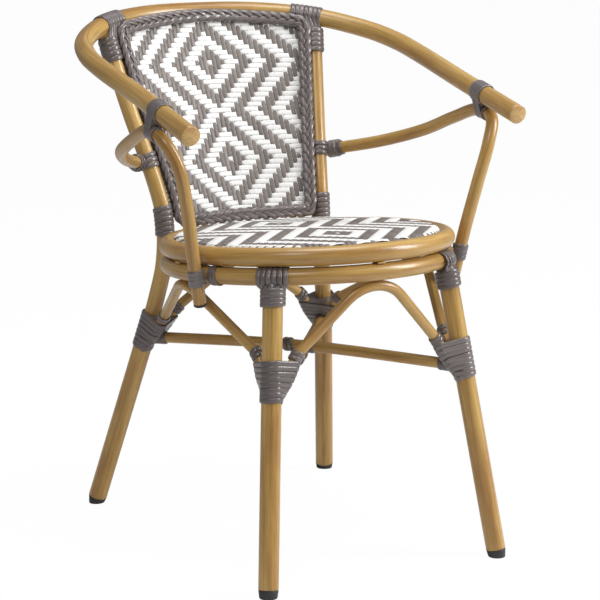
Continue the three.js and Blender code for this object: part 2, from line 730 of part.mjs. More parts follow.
// A winding on a round tube that starts at one share of its curve.
function tubeWinding(name, t, turns, start, pitch = STRIP_PITCH) {
  const length = t.curve.getLength();
  const inner = (t.radius + STRIP_CLEARANCE) / Math.cos(Math.PI / STRIP_STEPS);
  const frameAt = (turn) => {
    const share = start + (turn * pitch) / length;
    const along = t.curve.getTangentAt(share);
    const side = vector(0, 1, 0).cross(along).normalize();
    const front = along.clone().cross(side);
    const angle = 2 * Math.PI * turn;
    const out = side.multiplyScalar(Math.cos(angle)).addScaledVector(front, Math.sin(angle));
    const point = t.curve.getPointAt(share).addScaledVector(out, inner);
    return { point, out, along };
  };
  return winding(name, turns, STRIP_STEPS, frameAt);
}

const windingRoom = (STRIP_WIDTH + STRIP_PITCH) / 2;
const postLashingFoot = SEAT_HEIGHT - SEAT_RADIUS * Math.sin(SEAT_TILT) + POST_SPACER_RADIUS + windingRoom;
const postLashingTop = postLashingFoot + POST_TURNS * POST_PITCH;
posts.forEach((post, i) => {
  const name = sideName(rearLegs[i].side);
  const length = post.curve.getLength();
  const low = shareWhere(post.curve, "z", postLashingFoot);
  add("post_lashing_" + name, tubeWinding("post_lashing_" + name, post, POST_TURNS, low, POST_PITCH), strip);
  const room = CORNER_TURNS * STRIP_PITCH + RAIL_RADIUS + WRAP + windingRoom;
  const high = 1 - room / length;
  add("corner_winding_" + name, tubeWinding("corner_winding_" + name, post, CORNER_TURNS, high), strip);
});
frontLegs.forEach((axis) => {
  const name = "front_leg_winding_" + sideName(axis.side);
  const leg = legTube(axis);
  const room = FRONT_LEG_TURNS * STRIP_PITCH + LOWER_RING_TUBE + WRAP + windingRoom;
  add(name, tubeWinding(name, leg, FRONT_LEG_TURNS, 1 - room / leg.curve.getLength()), strip);
});

// Joint lashings, as sleeves

// Where the post meets the rail.
posts.forEach((post, i) => {
  const side = rearLegs[i].side;
  const middle = shareWhere(rail.curve, "x", railCorner.x * side);
  const round = sleeve(rail, middle, LASHING_LENGTH);
  const down = sleeve(post, 1 - (RAIL_RADIUS + WRAP / 2) / post.curve.getLength(), 2 * WRAP);
  add("corner_lashing_" + sideName(side), cut(join([round, down]), [cutter(rail), cutter(post)]), strip);
});

// Where the arm support leaves the post.
supports.forEach((support, i) => {
  const post = posts[i];
  const onPost = shareWhere(post.curve, "z", postLashingTop + ARM_POST_RISE);
  const end = support.curve.getPointAt(LASHING_LENGTH / support.curve.getLength());
  const along = rod(post.curve.getPointAt(onPost), end, SUPPORT_RADIUS + WRAP);
  const joined = join([sleeve(post, onPost, LASHING_LENGTH), along]);
  add("arm_post_lashing_" + sideName(frontLegs[i].side), cut(joined, [cutter(post), cutter(support)]), strip);
});

// Where the support is lashed up to the arm.
supports.forEach((support, i) => {
  const side = frontLegs[i].side;
  const place = -ARM_RAIL_SHARE * ARM_REACH;
  const [from, to] = side < 0 ? [1 / 2, 1] : [0, 1 / 2];
  const onRail = shareWhere(rail.curve, "y", place, from, to);
  const onSupport = shareWhere(support.curve, "y", place, 0, 1 / 2 + 1 / 8);
  const bridge = rod(rail.curve.getPointAt(onRail), support.curve.getPointAt(onSupport), SUPPORT_RADIUS);
  const round = sleeve(rail, onRail, LASHING_LENGTH);
  const joined = join([round, sleeve(support, onSupport, LASHING_LENGTH), bridge]);
  add("arm_lashing_" + sideName(side), cut(joined, [cutter(rail), cutter(support)]), strip);
});

// Where the support passes the lower ring.
supports.forEach((support, i) => {
  const side = frontLegs[i].side;
  const share = shareWhere(support.curve, "z", LOWER_RING_HEIGHT, 1 / 2, 1);
  const point = support.curve.getPointAt(share);
  const angle = Math.atan2(point.y, point.x);
  const half = LASHING_LENGTH / 3 / SEAT_RADIUS;
  const arc = tube(new RingArc(angle - half, angle + half, LOWER_RING_HEIGHT), LOWER_RING_TUBE + WRAP, 2);
  const bridge = rod(ringPoint(angle, LOWER_RING_HEIGHT), point, SUPPORT_RADIUS);
  const pieces = [body(arc), sleeve(support, share, LASHING_LENGTH), bridge];
  add("arm_ring_lashing_" + sideName(side), cut(join(pieces), [cutter(support), ...ringCutters]), strip);
});

// Where the front leg meets the lower ring.
frontLegs.forEach((axis) => {
  const middle = axis.side < 0 ? Math.PI + FRONT_LEG_ANGLE : -FRONT_LEG_ANGLE;
  const half = RING_LASHING_LENGTH / 2 / SEAT_RADIUS;
  const arc = tube(new RingArc(middle - half, middle + half, LOWER_RING_HEIGHT), LOWER_RING_TUBE + WRAP, 4);
  const cutters = [...ringCutters, legCutter(axis)];
  add("front_leg_lashing_" + sideName(axis.side), cut(body(arc), cutters), strip);
});

// Leg lashings: a sleeve where the stretcher leaves the leg, and above it a strip wound round the leg and the
// ends of two braces.

// Where a curve passes the plane through an origin, square to a heading, and how far its tube reaches there.
function crossing(curve, origin, heading, radius) {
  const samples = 300;
  const side = (point) => point.clone().sub(origin).dot(heading);
  const passes = [];
  for (let i = 0; i < samples; i++) {
    const a = curve.getPoint(i / samples);
    const b = curve.getPoint((i + 1) / samples);
    if (side(a) * side(b) > 0) continue;
    const slant = b.clone().sub(a).normalize().dot(heading);
    // The tube moves sideways by this much under half the strip's width.
    const slide = (STRIP_WIDTH / 2) * Math.tan(Math.acos(Math.abs(slant)));
    passes.push([a.lerp(b, side(a) / (side(a) - side(b))), radius / Math.abs(slant) + slide]);
  }
  return passes.sort((a, b) => a[0].distanceTo(origin) - b[0].distanceTo(origin))[0];
}

function legLashing(name, axis, ownBraces, ownStretcher) {
  const along = axis.heading.clone().normalize();
  const across = vector(0, 1, 0).cross(along).normalize();
  const ahead = along.clone().cross(across);
  const start = BRACE_START + STRIP_WIDTH;
  const rise = STRIP_PITCH * along.z;
  // The strip is taut, so at each angle it lies on the tube that reaches furthest that way.
  const frameAt = (turn) => {
    const origin = atHeight(axis, start + turn * rise);
    const angle = 2 * Math.PI * turn;
    const out = across.clone().multiplyScalar(Math.cos(angle)).addScaledVector(ahead, Math.sin(angle));
    const circles = ownBraces.map((arch) => crossing(arch.curve, origin, along, BRACE_RADIUS));
    circles.push([origin, LEG_RADIUS]);
    const reach = ([centre, radius]) => centre.clone().sub(origin).dot(out) + radius;
    const [centre, radius] = circles.sort((a, b) => reach(b) - reach(a))[0];
    const inner = (radius + LASHING_CLEARANCE) / Math.cos(Math.PI / LASHING_STEPS);
    return { point: centre.clone().addScaledVector(out, inner), out, along };
  };
  const wound = winding(name, LEG_LASHING_TURNS, LASHING_STEPS, frameAt);
  const bandTop = atHeight(axis, start + rise / 2);
  const bandFoot = atHeight(axis, STRETCHER_HEIGHT - LEG_LASHING_DROP);
  const band = rod(bandFoot, bandTop, LEG_RADIUS + WRAP + GAP, SIDES);
  const meeting = atHeight(axis, STRETCHER_HEIGHT);
  const nearStart = ownStretcher.curve.getPointAt(0).distanceTo(meeting) < LEG_RADIUS;
  const collar = LEG_RADIUS + LASHING_LENGTH / 2;
  const middle = collar / 2 / ownStretcher.curve.getLength();
  const round = sleeve(ownStretcher, nearStart ? middle : 1 - middle, collar);
  const cutters = [legCutter(axis), cutter(ownStretcher), ...ownBraces.map(cutter)];
  return join([cut(join([band, round]), cutters), wound]);
}

const lashingPlan = [
  ["leg_lashing_front_left", frontLeft, [braces.front, braces.left], lowerStretcher],
  ["leg_lashing_front_right", frontRight, [braces.front, braces.right], upperStretcher],
  ["leg_lashing_rear_right", rearRight, [braces.rear, braces.right], lowerStretcher],
  ["leg_lashing_rear_left", rearLeft, [braces.rear, braces.left], upperStretcher],
];
for (const [name, axis, arches, bar] of lashingPlan) {
  add(name, legLashing(name, axis, arches, bar), strip);
}

// Where the stretchers cross.
const crossCutters = [cutter(upperStretcher), cutter(lowerStretcher)];
const crossSleeves = [upperStretcher, lowerStretcher].map((bar) => {
  return sleeve(bar, shareWhere(bar.curve, "x", 0), LASHING_LENGTH);
});
add("cross_lashing", cut(join(crossSleeves), crossCutters), strip);

// The origin is under the middle of the whole chair, on the floor.
chair.updateMatrixWorld(true);
const bounds = new THREE.Box3().setFromObject(chair);
chair.position.y = -(bounds.min.y + bounds.max.y) / 2;

export default chair;
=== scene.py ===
"""Looks of the bistro armchair: bamboo-look tubes, wound flat strip, woven seat and back, plaited border."""
import math

import bpy
import numpy as np
from mathutils import Matrix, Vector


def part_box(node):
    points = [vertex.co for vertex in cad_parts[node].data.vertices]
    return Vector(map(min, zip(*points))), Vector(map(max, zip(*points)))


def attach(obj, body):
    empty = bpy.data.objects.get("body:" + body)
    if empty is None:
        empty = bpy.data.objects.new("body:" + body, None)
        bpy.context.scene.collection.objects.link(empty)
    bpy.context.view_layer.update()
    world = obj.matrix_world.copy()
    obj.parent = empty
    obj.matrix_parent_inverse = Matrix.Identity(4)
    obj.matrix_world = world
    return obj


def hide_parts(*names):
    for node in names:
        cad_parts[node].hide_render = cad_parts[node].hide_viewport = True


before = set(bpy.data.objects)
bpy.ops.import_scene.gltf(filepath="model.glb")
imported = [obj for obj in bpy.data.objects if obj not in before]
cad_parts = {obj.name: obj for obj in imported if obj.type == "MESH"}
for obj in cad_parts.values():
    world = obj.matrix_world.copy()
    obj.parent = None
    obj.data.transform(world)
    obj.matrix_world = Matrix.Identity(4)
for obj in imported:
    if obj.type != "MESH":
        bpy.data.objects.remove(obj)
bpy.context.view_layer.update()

rng = np.random.default_rng(11)

# Sizes below are in millimetres, as in the part's source, and the chair's lines are drawn round the seat's
# centre. The part's own origin lies further to the rear.
MM = 0.001
ring_low, ring_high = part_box("seat_ring_upper")
ORIGIN_SHIFT = np.array([0.0, (ring_low.y + ring_high.y) / 2, 0.0])

GAP = 0.3
LEG_RADIUS = 14.3
LEG_WALL = 1.4
RAIL_RADIUS = 13.9
UPPER_RING_TUBE = 13.5
LOWER_RING_TUBE = 12.5
SUPPORT_RADIUS = 9.4
BRACE_RADIUS = 7.6
STRETCHER_RADIUS = 8.2
POST_RADIUS = LEG_RADIUS - LEG_WALL - GAP
SEAT_RADIUS = 204
SEAT_HEIGHT = 450.2
RING_SLIT = 1.4
SEAT_TILT = math.radians(3.9)
SEAT_ROD = 4
WEAVE_THICKNESS = 3.6
SEAT_CROWN = 11
LOWER_RING_HEIGHT = SEAT_HEIGHT - UPPER_RING_TUBE - LOWER_RING_TUBE - RING_SLIT
FRONT_FOOT = np.array([190.3, -229.8, 0.0])
FRONT_LEG_ANGLE = math.radians(47.8)
FRONT_LEG_OUTSET = 5.4
REAR_FOOT = np.array([208.9, 310.7, 0.0])
KNEE_HEIGHT = 267
KNEE_SHARES = (0.7838, 1.1265)
POST_SOCKET = 40
GLIDE_HEIGHT = 11
ARM_HALF_WIDTH = 269.3
ARM_REACH = 152
ARM_TIP_HEIGHT = 636.5
RAIL_HEIGHT = 764
BACK_REACH = 360
BRACE_START = 291
BRACE_KNEE = 328
BRACE_KNEE_OUTSET = 15.5
BRACE_APEX_BEND = 60
BRACE_KNEE_BEND = 45
STRETCHER_HEIGHT = 279.5
STRIP_WIDTH = 7.3
STRIP_THICKNESS = 2.2


# Meshes

SHARP_ANGLE = math.radians(50)


class Mesh:
    """Gathers the parts of one piece. Each point keeps its place on the straight strand, and a tone."""

    def __init__(self):
        self.points, self.faces, self.rest, self.tones = [], [], [], []
        self.count = 0

    def skin(self, sections, rest, tone=0.5, closed=False):
        """Adds the faces that join rings of points; sections has the shape rings, points, 3."""
        rings, sides = sections.shape[:2]
        k = np.arange(sides) + self.count
        after = (np.arange(sides) + 1) % sides + self.count
        for i in range(rings if closed else rings - 1):
            a, b = i * sides, (i + 1) % rings * sides
            self.faces += np.stack([a + k, a + after, b + after, b + k], 1).tolist()
        if not closed:
            self.faces += [k[::-1].tolist(), (k + (rings - 1) * sides).tolist()]
        self.points.append(sections.reshape(-1, 3))
        self.rest.append(rest.reshape(-1, 3))
        self.tones.append(np.full(rings * sides, tone))
        self.count += rings * sides

    def piece(self, name, material, *nodes):
        mesh = bpy.data.meshes.new(name)
        mesh.from_pydata((np.vstack(self.points) * MM + ORIGIN_SHIFT).tolist(), [], self.faces)
        mesh.polygons.foreach_set("use_smooth", [True] * len(mesh.polygons))
        rest = mesh.attributes.new("rest", "FLOAT_VECTOR", "POINT")
        rest.data.foreach_set("vector", (np.vstack(self.rest) * MM).astype(np.float32).ravel())
        tone = mesh.attributes.new("tone", "FLOAT", "POINT")
        tone.data.foreach_set("value", np.concatenate(self.tones).astype(np.float32))
        mesh.update()
        obj = bpy.data.objects.new(name, mesh)
        bpy.context.scene.collection.objects.link(obj)
        mesh.materials.append(material)
        mesh.set_sharp_from_angle(angle=SHARP_ANGLE)
        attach(obj, "root")
        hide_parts(*nodes)


def unit(vectors):
    vectors = np.asarray(vectors, float)
    return vectors / np.maximum(np.linalg.norm(vectors, axis=-1, keepdims=True), 1e-12)


# Curves

BEND_POINTS = 16
BEVEL = 0.6


def between(place, knots, rows):
    """Reads rows of numbers between their knots."""
    return np.stack([np.interp(np.atleast_1d(place), knots, column) for column in np.transpose(rows)], -1)


def lengths_along(points):
    return np.concatenate([[0.0], np.cumsum(np.linalg.norm(np.diff(points, axis=0), axis=1))])


class Path:
    """A line through close points, read by its length from the start."""

    def __init__(self, points):
        self.points = np.asarray(points, float)
        self.lengths = lengths_along(self.points)
        self.length = self.lengths[-1]
        self.headings = unit(np.gradient(self.points, self.lengths, axis=0))

    def at(self, distance):
        return between(distance, self.lengths, self.points)

    def heading(self, distance):
        return unit(between(distance, self.lengths, self.headings))

    def where(self, axis, value, low=0.0, high=1.0):
        """The distance at which an axis comes to a value, between two shares of the length."""
        distance = np.linspace(low, high, 2001) * self.length
        return distance[np.argmin(np.abs(self.at(distance)[:, axis] - value))]

    def part(self, start, end, step):
        count = max(2, int(round((end - start) / step)) + 1)
        return Path(self.at(np.linspace(start, end, count)))


def smooth(points, samples=900):
    """Centripetal Catmull-Rom curve, as three.js draws it."""
    points = np.asarray(points, float)
    ends = np.vstack([2 * points[0] - points[1], points, 2 * points[-1] - points[-2]])
    place = np.linspace(0, len(points) - 1, samples + 1)
    i = np.minimum(place.astype(int), len(points) - 2)
    w = (place - i)[:, None]
    p0, p1, p2, p3 = ends[i], ends[i + 1], ends[i + 2], ends[i + 3]
    t0, t1, t2 = [np.sqrt(np.linalg.norm(b - a, axis=1))[:, None] for a, b in ((p0, p1), (p1, p2), (p2, p3))]
    leave = ((p1 - p0) / t0 - (p2 - p0) / (t0 + t1) + (p2 - p1) / t1) * t1
    reach = ((p2 - p1) / t1 - (p3 - p1) / (t1 + t2) + (p3 - p2) / t2) * t1
    cubic = 2 * p1 - 2 * p2 + leave + reach
    square = -3 * p1 + 3 * p2 - 2 * leave - reach
    return Path(p1 + leave * w + square * w**2 + cubic * w**3)


def straight(start, end, step=4.0):
    count = max(2, int(np.linalg.norm(np.subtract(end, start)) / step) + 1)
    return Path(np.linspace(start, end, count))


def bent_path(corners, bends):
    """Straight runs between corners, each inner corner rounded to its bend radius."""
    points = [corners[0]]
    for before, corner, after, radius in zip(corners, corners[1:], corners[2:], bends):
        heading, onward = unit(corner - before), unit(after - corner)
        angle = math.acos(float(np.clip(heading @ onward, -1, 1)))
        setback = radius * math.tan(angle / 2)
        start = corner - heading * setback
        centre = start + unit(onward - heading * (onward @ heading)) * radius
        for share in np.linspace(0, 1, BEND_POINTS):
            turned = angle * share
            arm = (start - centre) * math.cos(turned)
            points.append(centre + arm + heading * radius * math.sin(turned))
    points.append(corners[-1])
    rough = Path(points)
    return rough.part(0, rough.length, 2.0)


def frames(points, headings, first):
    """Side and up directions that turn as little as they can along a path."""
    side = np.zeros_like(headings)
    side[0] = unit(first - headings[0] * (first @ headings[0]))
    for i in range(1, len(headings)):
        step = points[i] - points[i - 1]
        c1 = max(step @ step, 1e-12)
        moved = side[i - 1] - (2 / c1) * (step @ side[i - 1]) * step
        turned = headings[i - 1] - (2 / c1) * (step @ headings[i - 1]) * step
        second = headings[i] - turned
        c2 = max(second @ second, 1e-12)
        side[i] = moved - (2 / c2) * (second @ moved) * second
    return side, np.cross(headings, side)


def tube(mesh, path, radius, sides=32, step=4.0, closed=False, offset=0.0, first=(0, 0, 1.0)):
    """A round tube with its ends bevelled. Rest places are those of the same tube, straight."""
    distance = np.linspace(0, path.length, max(3, int(path.length / step) + 1))
    if closed:
        distance = distance[:-1]
    points, headings = path.at(distance), path.heading(distance)
    if not closed:
        counts = [2] + [1] * (len(distance) - 2) + [2]
        points, headings, distance = [np.repeat(values, counts, 0) for values in (points, headings, distance)]
        for ring, shift in ((1, BEVEL), (-2, -BEVEL)):
            points[ring] += headings[ring] * shift
            distance[ring] += shift
    radii = np.full((len(distance), 1, 1), float(radius))
    if not closed:
        radii[[0, -1]] -= BEVEL
    side, up = frames(points, headings, np.asarray(first, float))
    angle = 2 * math.pi * np.arange(sides) / sides
    ring = np.stack([np.cos(angle), np.sin(angle)], -1)
    sections = points[:, None] + radii * (side[:, None] * ring[None, :, :1] + up[:, None] * ring[None, :, 1:])
    rest = np.zeros_like(sections)
    rest[..., :2] = radii * ring
    rest[..., 2] = distance[:, None] + offset
    mesh.skin(sections, rest, closed=closed)


# The smallest ring of a turned profile, in place of a point on the axis
AXIS = 0.01


def lathe(mesh, foot, heading, profile, sides=40, tone=0.5):
    """Turns a profile of (radius, distance) round an axis."""
    heading = unit(heading)
    side = unit(np.cross([0, 1.0, 0], heading))
    up = np.cross(heading, side)
    angle = 2 * math.pi * np.arange(sides) / sides
    ring = side * np.cos(angle)[:, None] + up * np.sin(angle)[:, None]
    flat = np.stack([np.cos(angle), np.sin(angle), np.zeros(sides)], -1)
    sections = np.stack([np.asarray(foot) + heading * along + ring * radius for radius, along in profile])
    rest = np.stack([flat * radius + [0, 0, along] for radius, along in profile])
    mesh.skin(sections, rest, tone)


# The chair's lines

def ring_point(angle, height, radius=SEAT_RADIUS):
    angle = np.asarray(angle, float)
    x, y = radius * np.cos(angle), radius * np.sin(angle)
    return np.stack([x, y * math.cos(SEAT_TILT), height - y * math.sin(SEAT_TILT)], -1)


def ring_path(height, radius=SEAT_RADIUS, samples=720):
    return Path(ring_point(np.linspace(0, 2 * math.pi, samples + 1), height, radius))


def mirror(point, side=-1):
    return np.array([side * point[0], point[1], point[2]])


def shares(table, across, rearward, up, base=0.0):
    return [np.array([x * across, y * rearward, base + z * up]) for x, y, z in table]


ARM_SHARES = [[0.9848, 0, 0.2964], [1, 0.3456, 0.5302], [0.9866, 0.5044, 0.6439], [0.9113, 0.6603, 0.7624]]
CORNER_SHARES = [0.6788, 0.8444, 0.9122]
TOP_SHARES = [0.3635, 0.9586, 0.986]
TIP_SHARE = 0.9837
RAIL_RISE = RAIL_HEIGHT - ARM_TIP_HEIGHT
rail_shares = ARM_SHARES + [CORNER_SHARES, TOP_SHARES]
rail_side = [np.array([TIP_SHARE * ARM_HALF_WIDTH, -ARM_REACH, ARM_TIP_HEIGHT])]
rail_side += shares(rail_shares, ARM_HALF_WIDTH, BACK_REACH, RAIL_RISE, ARM_TIP_HEIGHT)
rail_corner = rail_side[5]
rail_middle = np.array([0, BACK_REACH, RAIL_HEIGHT])
rail = smooth(rail_side + [rail_middle] + [mirror(p) for p in rail_side[::-1]], 1600)

front_top = ring_point(-FRONT_LEG_ANGLE, LOWER_RING_HEIGHT, SEAT_RADIUS + FRONT_LEG_OUTSET)
knee = np.array([KNEE_SHARES[0] * SEAT_RADIUS, KNEE_SHARES[1] * SEAT_RADIUS, KNEE_HEIGHT])


class Leg:
    def __init__(self, foot, through, side, top):
        heading = (through - foot) / through[2]
        self.foot, self.slope, self.side, self.top = mirror(foot, side), mirror(heading, side), side, top
        self.heading = unit(self.slope)

    def at(self, height):
        return self.foot + self.slope * height


POST_SEAT_SHARES = [[0.7127, 1.0191, 0.7708], [0.6819, 0.9789, 0.8618], [0.6711, 0.9642, 0.9396],
                    [0.6696, 0.9696, 1.0084], [0.6779, 0.9946, 1.074]]
POST_RAIL_SHARES = [[0.5529, 0.6339, 0.7225], [0.5967, 0.7066, 0.8011], [0.6361, 0.773, 0.8809],
                    [0.6714, 0.8338, 0.9634]]


def post_path(leg):
    low = shares(POST_SEAT_SHARES, SEAT_RADIUS, SEAT_RADIUS, SEAT_HEIGHT)
    high = shares(POST_RAIL_SHARES, ARM_HALF_WIDTH, BACK_REACH, RAIL_HEIGHT)
    points = [mirror(p, leg.side) for p in low + high + [rail_corner]]
    return smooth([leg.at(KNEE_HEIGHT), leg.at(KNEE_HEIGHT + POST_SOCKET)] + points)


SUPPORT_ARM_SHARES = [[0.6476, 1.4158, 0.5427], [0.818, 1.0066, 0.627], [0.9506, 0.577, 0.745],
                      [0.9922, 0.1276, 0.8846], [1.01, -0.248, 0.9758], [1.0037, -0.5164, 0.9275],
                      [0.9476, -0.6145, 0.7424], [0.8938, -0.5882, 0.4444]]
SUPPORT_SEAT_SHARES = [[1.1118, -0.3843, 0.0741], [1.0382, -0.3451, -0.3285]]


def support_path(side):
    rise = ARM_TIP_HEIGHT - SEAT_HEIGHT
    arm = shares(SUPPORT_ARM_SHARES, ARM_HALF_WIDTH, ARM_REACH, rise, SEAT_HEIGHT)
    low = shares(SUPPORT_SEAT_SHARES, SEAT_RADIUS, SEAT_RADIUS, rise, SEAT_HEIGHT)
    first = arm[0] + unit(arm[0] - arm[1]) * SUPPORT_RADIUS
    return smooth([mirror(p, side) for p in [first] + arm + low])


class Side:
    """One side of the chair: its legs, post and arm support."""

    def __init__(self, sign):
        self.sign, self.name = sign, "left" if sign < 0 else "right"
        self.legs = {"front": Leg(FRONT_FOOT, front_top, sign, front_top[2]),
                     "rear": Leg(REAR_FOOT, knee, sign, KNEE_HEIGHT + POST_SOCKET)}
        self.post = post_path(self.legs["rear"])
        self.support = support_path(sign)


left_side, right_side = sides = [Side(-1), Side(1)]


def brace_path(leg_a, leg_b, ring_angle):
    apex = ring_point(ring_angle, LOWER_RING_HEIGHT) - [0, 0, LOWER_RING_TUBE + BRACE_RADIUS + GAP]
    beside = LEG_RADIUS + BRACE_RADIUS + 2 * GAP
    ends = []
    for leg, other in ((leg_a, leg_b), (leg_b, leg_a)):
        toward = other.at(BRACE_START) - leg.at(BRACE_START)
        toward[2] = 0
        toward = unit(toward)
        across = unit(toward - leg.heading * (toward @ leg.heading))
        start = leg.at(BRACE_START) + across * beside
        ends.append((start, leg.at(BRACE_KNEE) + across * (beside + BRACE_KNEE_OUTSET)))
    (a_start, a_bend), (b_start, b_bend) = ends
    # The middle corner lies above the apex by what its bend takes off, and their slopes depend on each other.
    half = np.linalg.norm(a_bend - b_bend) / 2
    rise = apex[2] - (a_bend[2] + b_bend[2]) / 2
    corner = apex.copy()
    for _ in range(8):
        slope = math.atan2(corner[2] - apex[2] + rise, half)
        corner = apex + np.array([0, 0, BRACE_APEX_BEND * (1 / math.cos(slope) - 1)])
    bends = [BRACE_KNEE_BEND, BRACE_APEX_BEND, BRACE_KNEE_BEND]
    return bent_path([a_start, a_bend, corner, b_bend, b_start], bends)


(front_left, rear_left), (front_right, rear_right) = [side.legs.values() for side in sides]
braces = {
    "front": brace_path(front_left, front_right, -math.pi / 2),
    "right": brace_path(front_right, rear_right, 0),
    "rear": brace_path(rear_right, rear_left, math.pi / 2),
    "left": brace_path(rear_left, front_left, math.pi),
}


def stretcher_path(leg_a, leg_b, lift):
    start, end = leg_a.at(STRETCHER_HEIGHT), leg_b.at(STRETCHER_HEIGHT)
    middle = start + (end - start) * (start[0] / (start[0] - end[0]))
    middle[2] += lift
    return smooth([start, middle, end])


lift = STRETCHER_RADIUS + GAP
upper_stretcher = stretcher_path(rear_left, front_right, lift)
lower_stretcher = stretcher_path(front_left, rear_right, -lift)
lower_ring = ring_path(LOWER_RING_HEIGHT)


# Materials

WHITE = (1.0, 1.0, 1.0)


def srgb(*values):
    def linear(value):
        value /= 255
        return value / 12.92 if value <= 0.04045 else ((value + 0.055) / 1.055) ** 2.4
    return tuple(linear(value) for value in values)


class Nodes:
    """The nodes of a material. An input that is given a socket is linked to it, and else set to the value."""

    def __init__(self, name):
        self.material = bpy.data.materials.new(name)
        self.material.use_nodes = True
        self.tree = self.material.node_tree
        self.tree.nodes.clear()
        self.out = self.tree.nodes.new("ShaderNodeOutputMaterial")

    def feed(self, node, inputs):
        for key, value in inputs.items():
            if isinstance(value, bpy.types.NodeSocket):
                self.tree.links.new(value, node.inputs[key])
            else:
                node.inputs[key].default_value = value

    def node(self, kind, inputs=None):
        node = self.tree.nodes.new(kind)
        self.feed(node, inputs or {})
        return node


class Shader(Nodes):
    """A principled shader, with textures that follow the strand or tube."""

    def __init__(self, name, roughness, coat=0.0, coat_roughness=0.2):
        super().__init__(name)
        self.bsdf = self.node("ShaderNodeBsdfPrincipled", {
            "Roughness": roughness, "Coat Weight": coat, "Coat Roughness": coat_roughness})
        self.feed(self.out, {"Surface": self.bsdf.outputs["BSDF"]})

    def attribute(self, name):
        node = self.node("ShaderNodeAttribute")
        node.attribute_name = name
        return node

    def noise(self, vector, scale, detail=3.0, roughness=0.5, along=1.0):
        mapping = self.node("ShaderNodeMapping", {"Vector": vector, "Scale": (1, 1, along)})
        texture = self.node("ShaderNodeTexNoise", {
            "Vector": mapping.outputs["Vector"], "Scale": scale, "Detail": detail, "Roughness": roughness})
        return texture.outputs["Fac"]

    def ramp(self, value, *stops):
        node = self.node("ShaderNodeValToRGB", {"Fac": value})
        elements = node.color_ramp.elements
        while len(elements) < len(stops):
            elements.new(0.5)
        for element, (place, color) in zip(elements, stops):
            element.position = place
            element.color = (*color, 1)
        return node.outputs["Color"]

    def multiply(self, color, factor, value, *stops):
        """A colour that is multiplied, by the factor's share, by a ramp of a value."""
        node = self.node("ShaderNodeMix")
        node.data_type = "RGBA"
        node.blend_type = "MULTIPLY"
        self.feed(node, {"Factor": factor, "A": color, "B": self.ramp(value, *stops)})
        return node.outputs["Result"]

    def finish(self, color, height, strength, distance):
        """Gives the shader its colour and its bump."""
        bump = self.node("ShaderNodeBump", {"Height": height, "Strength": strength, "Distance": distance})
        self.feed(self.bsdf, {"Base Color": color, "Normal": bump.outputs["Normal"]})
        return self.material


def bamboo_material(name, pale, middle, dark):
    """Lacquered bamboo look: broad tones, fine fibres, smoked patches and darker streaks along the tube."""
    shader = Shader(name, 0.34, coat=0.5, coat_roughness=0.26)
    rest = shader.attribute("rest").outputs["Vector"]
    broad = shader.noise(rest, 60, 4, 0.55, 0.05)
    fibre = shader.noise(rest, 420, 3, 0.6, 0.025)
    smoke = shader.noise(rest, 22, 3, 0.5, 0.3)
    streak = shader.noise(rest, 190, 4, 0.6, 0.045)
    color = shader.ramp(broad, (0.26, dark), (0.48, middle), (0.74, pale))
    color = shader.multiply(color, 0.26, fibre, (0.32, srgb(120, 84, 44)), (0.5, WHITE))
    color = shader.multiply(color, 0.5, smoke, (0.5, WHITE), (0.72, srgb(196, 148, 104)))
    color = shader.multiply(color, 0.28, streak, (0.36, srgb(168, 112, 70)), (0.5, WHITE))
    gloss = shader.node("ShaderNodeMapRange", {"Value": broad, "To Min": 0.28, "To Max": 0.42})
    shader.feed(shader.bsdf, {"Roughness": gloss.outputs["Result"]})
    return shader.finish(color, fibre, 0.12, 0.0004)


def strand_material(name, base, shade, roughness, variation=0.35, coat=0.0):
    """Extruded flat strand: fine lines along it, and a tone of its own for each strand."""
    shader = Shader(name, roughness, coat)
    rest = shader.attribute("rest").outputs["Vector"]
    lines = shader.noise(rest, 700, 2, 0.5, 0.03)
    blotch = shader.noise(rest, 90, 2, 0.5, 0.2)
    color = shader.ramp(shader.attribute("tone").outputs["Fac"], (0.0, shade), (1.0, base))
    color = shader.multiply(color, variation, lines, (0.3, srgb(196, 196, 196)), (0.6, WHITE))
    color = shader.multiply(color, variation, blotch, (0.35, srgb(206, 202, 200)), (0.6, WHITE))
    return shader.finish(color, lines, 0.25, 0.0002)


def plastic_material(name, pale, dark):
    shader = Shader(name, 0.5)
    grain = shader.noise(shader.node("ShaderNodeTexCoord").outputs["Object"], 900, 2)
    return shader.finish(shader.ramp(grain, (0.35, dark), (0.7, pale)), grain, 0.2, 0.0002)


bamboo = bamboo_material("bamboo_tube", srgb(216, 181, 112), srgb(192, 152, 80), srgb(152, 109, 54))
bare_end = bamboo_material("bare_end", srgb(216, 180, 116), srgb(204, 166, 100), srgb(190, 150, 88))
grey_strip = strand_material("grey_strip", srgb(129, 120, 118), srgb(104, 95, 94), 0.3, coat=0.4)
grey_strand = strand_material("grey_strand", srgb(146, 137, 132), srgb(120, 112, 108), 0.42)
white_strand = strand_material("white_strand", srgb(253, 253, 252), srgb(244, 244, 243), 0.42, 0.12)
black_plastic = plastic_material("black_plastic", srgb(62, 60, 62), srgb(46, 44, 46))


# Tubes

GRAIN_LENGTH = 5000
POST_GRAIN = 2300
FRONT_LEG_DROP = LOWER_RING_TUBE + 4
GLIDE_EDGE = 0.8
GLIDE_SOLE_SHARE = 0.86
GLIDE_SIDE_SHARE = 0.9


def tube_piece(name, node, path, radius, closed=False, first=(0, 0, 1.0), shift=0.0):
    """A tube in bamboo; shift picks another stretch of the grain."""
    mesh = Mesh()
    tube(mesh, path, radius, closed=closed, first=first, offset=float(rng.uniform(0, GRAIN_LENGTH)) + shift)
    mesh.piece(name, bamboo, node)


